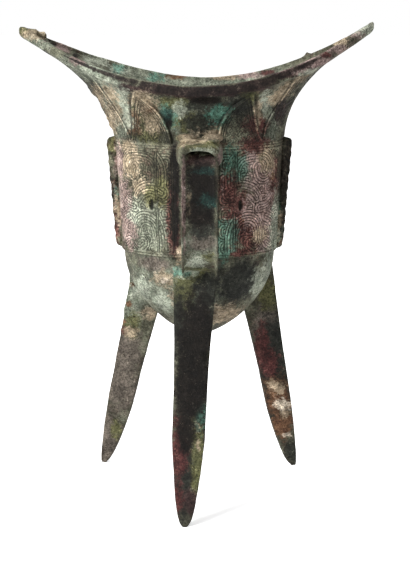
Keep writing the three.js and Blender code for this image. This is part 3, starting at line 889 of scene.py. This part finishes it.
# where each colour lies: the middle of a patch, its half width and its half height, in millimetres
patches = {
    "darkBronze": [
        (0, -48, 40, 9, 50), (34, 14, 50, 12, 50),
    ],
    "greyGreen": [
        (0, 31, 184, 60, 8), (-45, -20, 190, 26, 7), (-30, -20, 172, 14, 18), (-22, -20, 124, 14, 16),
        (3, -47, 120, 9, 9), (-68, -6, 201, 13, 5), (33, -10, 122, 6, 20), (24, -20, 145, 8, 5),
        (-8, -32, 172, 16, 9), (-10, -22, 96, 26, 16), (31, -16, 165, 5, 6), (-31, 11, 88, 10, 14),
        (-34, 13, 74, 7, 12), (-1, -33, 104, 7, 7), (1.5, -48, 31, 2.2, 9), (2, -50, 17, 2, 5),
    ],
    "greyBrown": [
        (-35, 14, 60, 9, 16), (30, 13, 70, 7, 16), (-38, 16, 46, 9, 22), (-46, 24, 12, 9, 22),
        (70, -4, 206, 9, 5), (50, -19, 194, 14, 5), (-18, -21, 107, 9, 4), (4, -48, 121, 7, 5),
    ],
    "olive": [
        (-41, 19, 18, 3.5, 6), (-4, -33, 99, 5, 7), (-32, 12, 72, 5, 7), (3, -46, 160, 9, 3),
        (-4, -40, 163, 7, 4), (6, -47, 114, 4, 3), (0, -34, 106, 8, 6), (-8, -32, 177, 8, 4),
        (-3, -30, 169, 8, 5), (-19, -23, 137, 5, 5), (-14, -25, 139, 5, 8), (-38, 0, 157, 3, 5),
        (6, -45, 161, 8, 2), (25, -19, 121, 4, 6), (-5, -34, 96, 6, 13), (2, -49, 26, 3.4, 18),
        (1.5, -46, 40, 3, 8), (31, 10, 87, 6, 9), (-21, -24, 164, 9, 5), (-77, -1, 206, 5, 4),
        (22, -31, 180, 6, 5), (-22, -27, 172, 8, 7),
    ],
    "charcoal": [
        (6, -30, 98, 8, 10), (2, -32, 168, 9, 6), (4, -49, 127, 6.4, 6), (-4.5, -50, 20, 4.4, 22),
        # (-9, -27, 138) is painted shade: a dark strip on the cup beside the strap's left side
        (33, 14, 60, 7, 22), (5, -33, 177, 10, 5), (17, -31, 176, 7, 8), (-9, -27, 138, 2.4, 22),
        # (40, 0, 137) on the right flange is partly its dark patina, partly painted shade on the flange's
        # front, which turns away from the light
        (4, -49, 140, 7.4, 17), (-7, -41, 84, 4, 18), (40, 0, 137, 4, 28), (18, -20, 99, 11, 13),
        (4, -36, 90, 6, 14), (37, 14, 63, 3, 12), (44, 23, 8, 5, 7), (12, -35, 181, 12, 2),
    ],
    "plum": [
        (-18, -34, 183, 11, 2.6), (-3, -35, 181, 12, 2.6), (11, -35, 182, 11, 2.6), (25, -33, 184, 10, 3),
        (37, -30, 189, 8, 2.6), (36, -16, 172, 4, 8), (20, -22, 124, 4.5, 9), (48, -25, 192, 8, 2.4),
        (8, -35, 181, 6, 1.4), (4, -47, 155, 8, 3.6), (-1, -53, 11, 5, 6), (-30, -32, 183, 10, 2),
    ],
    "maroon": [
        (25, -22, 158, 8, 6), (17, -25, 128, 6, 14), (24, -20, 120, 8, 8), (31, -12, 140, 5, 16),
        # (-10, -26, 128) is painted shade beside the strap's left side
        (-10, -26, 128, 3, 18), (26, -22, 167, 7, 5), (14, -25, 140, 5.5, 9), (19, -24, 133, 4, 8),
        (-40, 0, 124, 5, 18), (-6, -47, 32, 4.5, 16), (-7, -51, 12, 3.5, 9), (-35.5, 13, 69, 2.6, 2.4),
        # (-9, -26, 119) is painted shade beside the strap's left side
        (28, 13, 63, 4, 12), (32, 14, 53, 5, 9), (-9, -26, 119, 2.4, 10), (18, -22, 113, 8, 2),
        (54, -19, 196, 3, 1.6), (30, 30, 186, 5, 1.6),
    ],
    "brown": [
        (-31, 11, 91, 2.4, 1.6), (-33, 12, 82, 2, 2), (-36, 13, 73, 1.8, 2), (36, 17, 36, 7, 12),
        (28, -17, 146, 6, 8), (-27, -22, 168, 5, 6), (40, 18, 25, 5, 4), (26, -18, 128, 7, 5),
        (-12, 32, 184, 6, 1.6), (33, 15, 43, 6, 4), (38, 18, 22, 6, 8), (-19, -28, 174, 4, 3),
    ],
    "mauve": [
        (44, -24, 189.5, 12, 1.6), (68, -6, 205, 6, 3), (26, -19, 130, 9, 10), (27, -19, 144, 8, 8),
        (30, -14, 128, 6, 8), (-34, -6, 150, 4, 10), (58, -13, 199, 8, 3), (50, -22, 193, 11, 2.4),
        (-64, -2, 201, 4, 2), (-61, 8, 198, 6, 3), (-49, -25, 194, 5, 3), (-32, -11, 131, 5, 13),
        (-30, -13, 121, 5, 10), (28, -17, 135, 7.5, 7), (23, -22, 151, 5, 5), (29, -14, 118, 5, 7),
        # the last two are painted highlights: pale mauve lines down the strap's two edges, where they catch
        # the light
        (20, 31, 185, 8, 2), (-3.4, -50, 140, 0.9, 24), (11.4, -48, 140, 1.1, 22),
    ],
    "paleGreen": [
        (71.5, -3, 206, 7, 4), (30, -24, 175, 3, 8), (-30, -20, 168, 6, 5), (-33, -24, 178, 7, 8),
        (-36, -20, 186, 8, 4), (-30, 11, 88, 3, 4), (-38, 25, 188, 6, 3), (-43, -28, 190, 8, 3),
        (-49, 19, 192, 8, 3), (-35, -26, 183, 7, 6), (-31, -21, 174, 5, 8), (-6, -31, 174, 3.5, 4),
        (28, -25, 177, 2.2, 5), (47, -21, 189, 7, 2), (34, -8, 122, 3, 16), (-25, -15, 93, 5, 8),
        (-15, -17, 89, 6, 6), (32, -4, 102, 4, 9), (28, -10, 96, 5.5, 11), (1, -40, 112, 5, 4),
        (-4, -32, 106, 7, 3), (4, -49, 159, 8, 2), (-38, 17, 24, 1.6, 2), (-27, -17, 128, 4, 5),
    ],
    "tan": [
        (34, -21, 178, 5, 4), (-35, -14, 172, 5, 8), (27, -16, 119, 4, 5), (36, 16, 41, 4, 4),
        (39, 18, 28, 3, 3), (-70, -3, 204, 8, 3), (60, -9, 201, 4, 2), (10, 32, 184, 7, 1.6),
        (61, 8, 201, 6, 2.6), (-42, -10, 179, 4, 8), (-37, -8, 169, 4, 9), (-22, -28, 177, 7, 6),
        (-18, -28, 169, 7, 6), (-36, -19, 180, 5, 7), (26, -25, 173, 1.8, 8), (38, -19, 182, 7, 5),
        (43, -18, 186, 6, 3), (-28, -18, 150, 5.4, 9), (-25, -21, 141, 4.4, 5), (-30, -17, 157, 5, 4),
        (-7, -27, 112, 2.4, 5), (-1, -40, 163, 8, 5), (8, -32, 163, 6, 4), (30, -16, 152, 4, 7),
        (-1, -50, 138, 1.3, 5), (-14, -22, 101, 6, 4), (-9, -23, 93, 3.4, 6), (12, -13, 83, 9, 7),
        (2, -46, 42, 1.8, 3), (2.5, -48, 34, 1.2, 3), (-24, 12, 78, 4, 4), (-33, 14, 68, 4, 4),
        (33, 15, 43, 4, 3),
    ],
    "turquoise": [
        (15, -25, 121, 4, 8), (19, -24, 150, 4, 6), (3, -44, 46, 3, 7), (-22, 31, 184, 5, 2.4),
        (-38, 25, 188, 4, 2), (-11, -29, 171, 4, 6), (10, -30, 172, 6, 5), (15, -26, 152, 5, 7),
        (12, -26, 119, 3.6, 10), (12, -25, 113, 4, 3), (4, -44, 49, 2, 4), (5, -49, 138, 5, 4),
        (-6, -33, 106, 5, 2),
    ],
    "chalk": [
        (-14, -22, 100, 2, 1.6), (38, 17, 33, 4.4, 3.8), (41, 20, 17, 3, 1.4),
    ],
    "black": [
        # (-9, -27, 148) and (-9, -27, 128) are painted shade: a dark strip beside the strap's left side
        (3.4, -49, 147, 7.2, 9), (3.4, -49, 134, 7.2, 9), (-9, -27, 148, 3, 14), (-9, -27, 128, 2.4, 16),
        # (40, 0, 137) on the right flange is partly its dark patina, partly painted shade on the flange's
        # front, which turns away from the light
        (40, 0, 137, 6, 30), (-41, 0, 126, 4.2, 22), (1, -36, 80, 10, 22), (-1, -43, 58, 9, 18),
        (-3, -47, 40, 5, 12), (5, -49, 144, 6.8, 11), (0, -42, 66, 9, 26), (-67, 6, 201, 1.8, 1.3),
        (-64, 6, 199, 1.3, 1.3), (-55, 12, 194, 2.6, 1.8), (-11, -29, 169, 2, 4), (-30, 11, 86, 1.1, 1.1),
        (-27, 11, 84, 0.9, 0.9), (-33, 12, 92, 1.2, 1), (-28, 11, 78, 1, 0.8), (-31, 12, 76, 0.8, 0.8),
        # painted shadow under the lip's lower edge, across the front of the neck
        (5, -32, 178, 8, 2),
    ],
    "deepTeal": [
        (6, -49, 139, 5, 3.4), (5, -49, 151, 6, 1.8), (-12, -29, 172, 3, 4), (40, 0, 118, 4, 5),
    ],
}
extraDepth = 4   # how much further a patch reaches inward than across
# the hidden sides get patches of the same kind, strewn from a seed and kept off what the photo shows
hiddenPatches = {
    "count": 110,
    "seed": 41,
    "smallest": 3.0,
    "largest": 10.0,
    "frontLimit": -12,
    "keptOff": 1.6,
    "inSight": (-0.15, 0.2),
    "colours": ("greyGreen", "olive", "tan", "paleGreen", "charcoal", "maroon", "mauve", "turquoise",
                "plum", "greyGreen", "olive", "brown"),
}


def strewn(place, facing):
    rng = np.random.default_rng(hiddenPatches["seed"])
    hidden = place[(facing < 0) & (place[:, 1] > hiddenPatches["frontLimit"])]
    spots = []
    for _ in range(hiddenPatches["count"]):
        middle = hidden[rng.integers(len(hidden))]
        colour = hiddenPatches["colours"][rng.integers(len(hiddenPatches["colours"]))]
        across, tall = rng.uniform(hiddenPatches["smallest"], hiddenPatches["largest"], 2)
        spots.append((colour, (*middle, across, tall)))
    return spots


def facingPhoto(place, normal):
    # 1 where the surface looks straight at the photo's camera, below 0 where it looks away
    sight = np.array(view["eye"]) - place
    return (normal * sight).sum(1) / np.linalg.norm(sight, axis=1)


# the lip's outer face and the crease under the rim's edge are painted dark, partly as patina and partly as
# painted shade
lipShade = {
    "face": (2.4, 2.1),        # how far under the rim its middle lies, and half its height
    "crease": (1.0, 0.8),
    "leftFade": (10, 40),      # how far out the dark face fades on each side
    "rightFade": (24, 52),
    "creaseFade": (46, 60),
}


def onLip(place, normal):
    # 1 along the middle of the lip's dark outer face and of the crease over it, 0 at their edges. That dark
    # is partly the lip's own patina, partly painted shade on the outer face, which turns down and out, and
    # in the crease under the rim's edge
    drop = rimHeight(place[:, 0]) - place[:, 2]
    outward = (normal[:, :2] * place[:, :2] / np.array([4.0, 1.0])).sum(1) > 0
    ends = smooth(*lipShade["leftFade"], -place[:, 0]) + smooth(*lipShade["rightFade"], place[:, 0])
    middle, half = lipShade["face"]
    face = 1 - np.abs(drop - middle) / half - ends
    middle, half = lipShade["crease"]
    crease = 1 - np.abs(drop - middle) / half - smooth(*lipShade["creaseFade"], np.abs(place[:, 0]))
    return np.where(outward, np.maximum(face, crease), -1)


def paint(piece):
    # stores how far inside a patch of each colour a point lies: 1 in the middle, 0 at the edge
    mesh = piece.data
    place, normal = atVertices(mesh), atVertices(mesh, "normal")
    facing = facingPhoto(place, normal)
    extra = strewn(place, facing)
    kept = hiddenPatches["keptOff"] * smooth(*hiddenPatches["inSight"], facing)
    for colour in patina:
        field = np.full(len(place), -1.0)
        spots = [(spot, 0) for spot in patches.get(colour, [])]
        spots += [(spot, kept) for name, spot in extra if name == colour]
        for (*middle, across, tall), less in spots:
            radii = np.array([across, max(across, tall) + extraDepth, tall])
            away = np.linalg.norm((place - np.array(middle)) / radii, axis=1)
            field = np.maximum(field, 1 - away - less)
        # the lip's band of dark patina and painted shade
        if colour == "lipPatinaAndShade":
            field = np.maximum(field, onLip(place, normal))
        store(mesh, colour, field)


def insideBox(piece):
    # crust never stands out of the CAD solid's own box
    mesh = piece.data
    shift = np.array([axisOffset[0], axisOffset[1], 0])
    low, high = np.array(cadBox[0]) * 1000 - shift, np.array(cadBox[1]) * 1000 - shift
    mesh.vertices.foreach_set("co", np.clip(atVertices(mesh), low, high).ravel())
    mesh.update()


def makeVessel():
    cup = makeCup()
    print("cup drawn")
    core = makeCoreCutter()
    legs = [makeLeg(name, *place) for name, place in legPlaces.items()]
    flanges = [makeFlange("flange" + str(k), 90 * (k + 1)) for k in range(3)]
    fittings = combine(makeStrap(), [makeHead()] + headFeatures() + legs + flanges, "UNION")
    fittings = combine(fittings, [core], "DIFFERENCE")
    vessel = combine(cup, [fittings], "UNION")
    print("casting joined:", len(vessel.data.polygons), "faces")
    weather(vessel)
    count = thinOut(vessel, corrosion["triangles"])
    insideBox(vessel)
    markLines(vessel)
    paint(vessel)
    shift = Matrix.Translation((axisOffset[0], axisOffset[1], 0))
    vessel.data.transform(Matrix.Scale(0.001, 4) @ shift)
    vessel.data.shade_smooth()
    vessel.name = "jiaoVessel"
    vessel.data.name = "jiaoVessel"
    print("vessel meshed:", count, "triangles")
    return vessel


class Nodes:
    # short calls for adding and joining shader nodes
    def __init__(self, tree):
        self.tree = tree

    def add(self, kind, settings=None, **inputs):
        node = self.tree.nodes.new(kind)
        for name, value in (settings or {}).items():
            setattr(node, name, value)
        for name, value in inputs.items():
            self.put(node.inputs[name.replace("_", " ")], value)
        return node

    def put(self, socket, value):
        if isinstance(value, bpy.types.NodeSocket):
            self.tree.links.new(value, socket)
        elif value is not None:
            socket.default_value = value

    def math(self, operation, *values, clamp=False):
        node = self.add("ShaderNodeMath", {"operation": operation, "use_clamp": clamp})
        for socket, value in zip(node.inputs, values):
            self.put(socket, value)
        return node.outputs[0]

    def times(self, a, b):
        return self.math("MULTIPLY", a, b)

    def timesPlus(self, a, b, c):
        return self.math("MULTIPLY_ADD", a, b, c)

    def stored(self, name):
        return self.add("ShaderNodeAttribute", {"attribute_name": name}).outputs["Fac"]

    def blend(self, share, under, over, how="MIX"):
        node = self.add("ShaderNodeMix", {"data_type": "RGBA", "blend_type": how})
        for index, value in ((0, share), (6, under), (7, over)):
            self.put(node.inputs[index], value)
        return node.outputs[2]

    def blendValue(self, share, under, over):
        node = self.add("ShaderNodeMix", {"data_type": "FLOAT"})
        for index, value in ((0, share), (2, under), (3, over)):
            self.put(node.inputs[index], value)
        return node.outputs[0]

    def spread(self, value, low, high):
        node = self.add("ShaderNodeMapRange", {"interpolation_type": "SMOOTHSTEP"}, Value=value)
        self.put(node.inputs["From Min"], low)
        self.put(node.inputs["From Max"], high)
        return node.outputs[0]

    def noise(self, place, size, detail, roughness):
        # size is in millimetres
        return self.add("ShaderNodeTexNoise", None, Vector=place, Scale=1000.0 / size, Detail=detail,
                        Roughness=roughness)


def groupNodes(name, inputs, outputs):
    # inputs and outputs: the names of the sockets, by their kind
    tree = bpy.data.node_groups.new(name, "ShaderNodeTree")
    for way, sockets in (("INPUT", inputs), ("OUTPUT", outputs)):
        for kind, titles in sockets.items():
            for title in titles:
                tree.interface.new_socket(title, in_out=way, socket_type="NodeSocket" + kind)
    nodes = Nodes(tree)
    return nodes, nodes.add("NodeGroupInput").outputs, nodes.add("NodeGroupOutput").inputs


patchEdge = {"specks": 0.45, "blotches": 0.55, "field": 0.8, "spread": (-0.1, 0.36), "tones": (0.32, 0.68)}


def patchGroup():
    # lays one colour of patina over what is under it, with a ragged edge that breaks up into specks
    nodes, given, put = groupNodes(
        "patinaPatch",
        {"Color": ("Under", "Dark Tone", "Light Tone"),
         "Float": ("Rough Under", "Field", "Rough", "Ragged", "Cover", "Blotches", "Specks", "Tone Noise")},
        {"Color": ("Colour",), "Float": ("Roughness",)})
    edge = nodes.times(given["Blotches"], patchEdge["blotches"])
    edge = nodes.timesPlus(given["Specks"], patchEdge["specks"], edge)
    wander = nodes.times(nodes.math("SUBTRACT", edge, 0.5), given["Ragged"])
    inside = nodes.timesPlus(given["Field"], patchEdge["field"], wander)
    inside = nodes.times(nodes.spread(inside, *patchEdge["spread"]), given["Cover"])
    tone = nodes.spread(given["Tone Noise"], *patchEdge["tones"])
    colour = nodes.blend(tone, given["Dark Tone"], given["Light Tone"])
    nodes.put(put["Colour"], nodes.blend(inside, given["Under"], colour))
    nodes.put(put["Roughness"], nodes.blendValue(inside, given["Rough Under"], given["Rough"]))
    return nodes.tree


# size in millimetres, detail, roughness, then the stretch of the noise that turns to dirt
grimeNoise = {"coarse": (5.5, 5, 0.65, 0.33, 0.6), "fine": (0.9, 4, 0.7, 0.3, 0.58)}


def grimeGroup():
    # soot and dirt at two sizes: 1 where the surface is clean, less where it is grimy
    nodes, given, put = groupNodes("grime", {"Vector": ("Place",), "Float": ("Coarse", "Fine")},
                                   {"Float": ("Clean",)})
    clean = []
    for share, (size, detail, roughness, low, high) in zip(("Coarse", "Fine"), grimeNoise.values()):
        made = nodes.noise(given["Place"], size, detail, roughness).outputs["Fac"]
        clean.append(nodes.blendValue(given[share], 1.0, nodes.spread(made, low, high)))
    nodes.put(put["Clean"], nodes.times(*clean))
    return nodes.tree


bronzeLook = {
    # size in millimetres, detail and roughness
    "noises": {"broad": (10, 5, 0.6), "middle": (3.4, 5, 0.65), "fine": (1.1, 5, 0.7),
               "grain": (0.5, 3, 0.6)},
    "ground": ((0.07, 0.068, 0.046, 1), (0.17, 0.17, 0.12, 1), (0.1, 0.075, 0.055, 1)),
    "roughness": 0.6,
    # how much the crests are lightened: partly rubbed wear, partly painted highlight
    "crestWearAndHighlightGain": 0.6,
    "crestWearAndHighlightTint": (0.09, (0.42, 0.36, 0.25, 1)),
    "lineDirt": 0.95,
    "lineShelter": 0.2,        # how much less dirt a line holds under tan crust
    "lineColour": (0.022, 0.022, 0.017, 1),
    "coarseGrime": 0.42,
    "fineGrime": 0.62,
    "pits": 0.7,
    "pitColour": (0.022, 0.018, 0.013, 1),
    "grainGain": 0.9,
    "grainTint": (0.1, (0.42, 0.38, 0.28, 1)),
    "contrast": 1.3,
    "lift": (2.27, 2.29, 2.5),
    "specular": 0.14,
    "bump": 0.9,
    "bumpHeight": 0.0006,      # metres
}


def makeBronze():
    finish = bpy.data.materials.new("bronzePatina")
    finish.use_nodes = True
    nodes = Nodes(finish.node_tree)
    shader = finish.node_tree.nodes["Principled BSDF"]
    place = nodes.add("ShaderNodeTexCoord").outputs["Object"]

    def threeNoises(size, detail, roughness):
        made = nodes.noise(place, size, detail, roughness).outputs["Color"]
        return nodes.add("ShaderNodeSeparateColor", None, Color=made).outputs

    def brighter(colour, mask, gain, share, tint):
        bright = nodes.add("ShaderNodeVectorMath", {"operation": "SCALE"}, Vector=colour,
                           Scale=nodes.timesPlus(mask, gain, 1.0)).outputs[0]
        return nodes.blend(nodes.times(mask, share), bright, tint)

    broad, middle, fine, grain = (threeNoises(*wave) for wave in bronzeLook["noises"].values())
    dark, light, warm = bronzeLook["ground"]
    colour = nodes.blend(nodes.spread(broad[0], 0.4, 0.62), dark, light)
    colour = nodes.blend(nodes.spread(middle[1], 0.5, 0.68), colour, warm)
    roughness = bronzeLook["roughness"]
    coat = patchGroup()
    for index, (name, (dark, light, ragged, cover, rough)) in enumerate(patina.items()):
        field = nodes.stored(name)
        tone = nodes.times(middle[(index + 2) % 3], 0.5)
        tone = nodes.timesPlus(fine[(index + 1) % 3], 0.5, tone)
        patch = nodes.add("ShaderNodeGroup", {"node_tree": coat})
        values = {"Under": colour, "Rough Under": roughness, "Field": field, "Dark Tone": (*dark, 1),
                  "Light Tone": (*light, 1), "Rough": rough, "Ragged": ragged, "Cover": cover,
                  "Blotches": middle[index % 3], "Specks": fine[index % 3], "Tone Noise": tone}
        for title, value in values.items():
            nodes.put(patch.inputs[title], value)
        colour, roughness = patch.outputs["Colour"], patch.outputs["Roughness"]

    # the crests of the relief are made lighter, partly as rubbed wear and partly as painted highlight, and
    # its incised lines hold dirt
    crestWearAndHighlight = nodes.stored("crestWearAndHighlight")
    rubbedAndHighlit = nodes.times(crestWearAndHighlight, nodes.spread(fine[1], 0.35, 0.6))
    colour = brighter(colour, rubbedAndHighlit, bronzeLook["crestWearAndHighlightGain"], *bronzeLook["crestWearAndHighlightTint"])
    lines = nodes.stored("incised")
    crusted = nodes.spread(nodes.stored("tan"), -0.2, 0.7)
    bare = nodes.timesPlus(crusted, -bronzeLook["lineShelter"], nodes.spread(middle[0], 0.2, 0.5))
    lines = nodes.times(lines, nodes.math("MULTIPLY", bare, bronzeLook["lineDirt"], clamp=True))
    colour = nodes.blend(lines, colour, bronzeLook["lineColour"])
    clean = nodes.add("ShaderNodeGroup", {"node_tree": grimeGroup()}, Place=place,
                      Coarse=bronzeLook["coarseGrime"], Fine=bronzeLook["fineGrime"]).outputs[0]
    shade = nodes.add("ShaderNodeCombineColor", None, Red=clean, Green=clean, Blue=clean).outputs[0]
    colour = nodes.blend(1.0, colour, shade, "MULTIPLY")
    # small dark pits and pale grains
    pits = nodes.math("MAXIMUM", nodes.spread(grain[2], 0.58, 0.68), nodes.spread(fine[2], 0.58, 0.66))
    colour = nodes.blend(nodes.times(pits, bronzeLook["pits"]), colour, bronzeLook["pitColour"])
    grains = nodes.timesPlus(grain[0], 0.5, nodes.times(middle[0], 0.5))
    grains = nodes.spread(grains, 0.56, 0.66)
    colour = brighter(colour, grains, bronzeLook["grainGain"], *bronzeLook["grainTint"])
    # more contrast, then lifted back to the photo's brightness
    deep = nodes.add("ShaderNodeGamma", None, Color=colour, Gamma=bronzeLook["contrast"]).outputs[0]
    lift = nodes.add("ShaderNodeVectorMath", {"operation": "MULTIPLY"})
    nodes.put(lift.inputs[0], deep)
    nodes.put(lift.inputs[1], bronzeLook["lift"])
    nodes.put(shader.inputs["Base Color"], lift.outputs[0])
    uneven = nodes.timesPlus(fine[1], 0.3, -0.15)
    nodes.put(shader.inputs["Roughness"], nodes.math("ADD", roughness, uneven))
    shader.inputs["Metallic"].default_value = 0.0
    shader.inputs["Specular IOR Level"].default_value = bronzeLook["specular"]
    height = nodes.timesPlus(fine[0], 0.6, nodes.timesPlus(grain[2], 0.35, middle[2]))
    bump = nodes.add("ShaderNodeBump", None, Strength=bronzeLook["bump"],
                     Distance=bronzeLook["bumpHeight"], Height=height)
    nodes.put(shader.inputs["Normal"], bump.outputs[0])
    return finish


view = {
    "eye": (34.5, -585.2, 218.1),     # from the cup's axis at floor level
    "direction": (-0.0533, 0.9755, -0.2137),
    "lens": 82.14,
    "sensor": 36.0,
}


def makeCamera():
    data = bpy.data.cameras.new("photoCamera")
    data.lens, data.sensor_width, data.sensor_fit = view["lens"], view["sensor"], "AUTO"
    data.clip_start, data.clip_end = 0.05, 20
    camera = inScene("photoCamera", data)
    x, y, z = view["eye"]
    camera.location = ((x + axisOffset[0]) / 1000, (y + axisOffset[1]) / 1000, z / 1000)
    camera.rotation_mode = "QUATERNION"
    camera.rotation_quaternion = Vector(view["direction"]).to_track_quat("-Z", "Y")
    bpy.context.scene.camera = camera


lamps = {
    # place, aim, size in metres, watts
    "key": ((-0.95, -0.9, 0.85), (0, 0, 0.12), 0.5, 29.0),
    "fill": ((0.95, -0.7, 0.5), (0, 0, 0.12), 0.8, 2.2),
    "top": ((-0.1, 0.15, 1.2), (0, 0, 0.0), 0.9, 12.0),
}
backdrop = {
    "halfFloor": 8,        # metres
    "seen": 1.0,           # how bright the white behind shows, and how much light it sheds
    "glow": 0.13,
    "paper": 0.85,
    "nearGlow": 0.6,       # the paper's own light in the camera's view, near the feet and further off
    "farGlow": 0.96,
    "glowFrom": 0.05,
    "glowTo": 0.35,
}


def makeStage():
    for name, (place, aim, size, watts) in lamps.items():
        data = bpy.data.lights.new(name, "AREA")
        data.shape, data.size, data.energy = "SQUARE", size, watts
        lamp = inScene(name, data)
        lamp.location = place
        lamp.rotation_mode = "QUATERNION"
        lamp.rotation_quaternion = (Vector(aim) - Vector(place)).to_track_quat("-Z", "Y")
    world = bpy.data.worlds.new("studio")
    world.use_nodes = True
    nodes = Nodes(world.node_tree)
    air = world.node_tree.nodes["Background"]
    air.inputs["Color"].default_value = (1, 1, 1, 1)
    seen = nodes.add("ShaderNodeLightPath").outputs["Is Camera Ray"]
    nodes.put(air.inputs["Strength"], nodes.blendValue(seen, backdrop["glow"], backdrop["seen"]))
    bpy.context.scene.world = world
    bpy.context.scene.view_settings.view_transform = "Standard"
    half = backdrop["halfFloor"]
    corners = np.array([(-half, -half, 0), (half, -half, 0), (half, half, 0), (-half, half, 0)])
    floor = meshFrom("floor", corners, [(0, 1, 2, 3)])
    paper = bpy.data.materials.new("paper")
    paper.use_nodes = True
    shader = paper.node_tree.nodes["Principled BSDF"]
    tone = backdrop["paper"]
    shader.inputs["Base Color"].default_value = (tone, tone, tone, 1)
    shader.inputs["Roughness"].default_value = 0.9
    shader.inputs["Emission Color"].default_value = (1, 1, 1, 1)
    # seen by the camera, the paper is a little brighter further off, so that it runs out into white
    inks = Nodes(paper.node_tree)
    seen = inks.add("ShaderNodeLightPath").outputs["Is Camera Ray"]
    away = inks.add("ShaderNodeVectorMath", {"operation": "LENGTH"},
                    Vector=inks.add("ShaderNodeTexCoord").outputs["Object"]).outputs["Value"]
    glow = inks.add("ShaderNodeMapRange", None, Value=away, From_Min=backdrop["glowFrom"],
                    From_Max=backdrop["glowTo"], To_Min=backdrop["nearGlow"],
                    To_Max=backdrop["farGlow"]).outputs[0]
    inks.put(shader.inputs["Emission Strength"], inks.math("MULTIPLY", seen, glow))
    floor.data.materials.append(paper)


makeCamera()
makeStage()
vessel = makeVessel()
vessel.data.materials.clear()
vessel.data.materials.append(makeBronze())
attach(vessel, "root")
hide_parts("jiao_vessel")
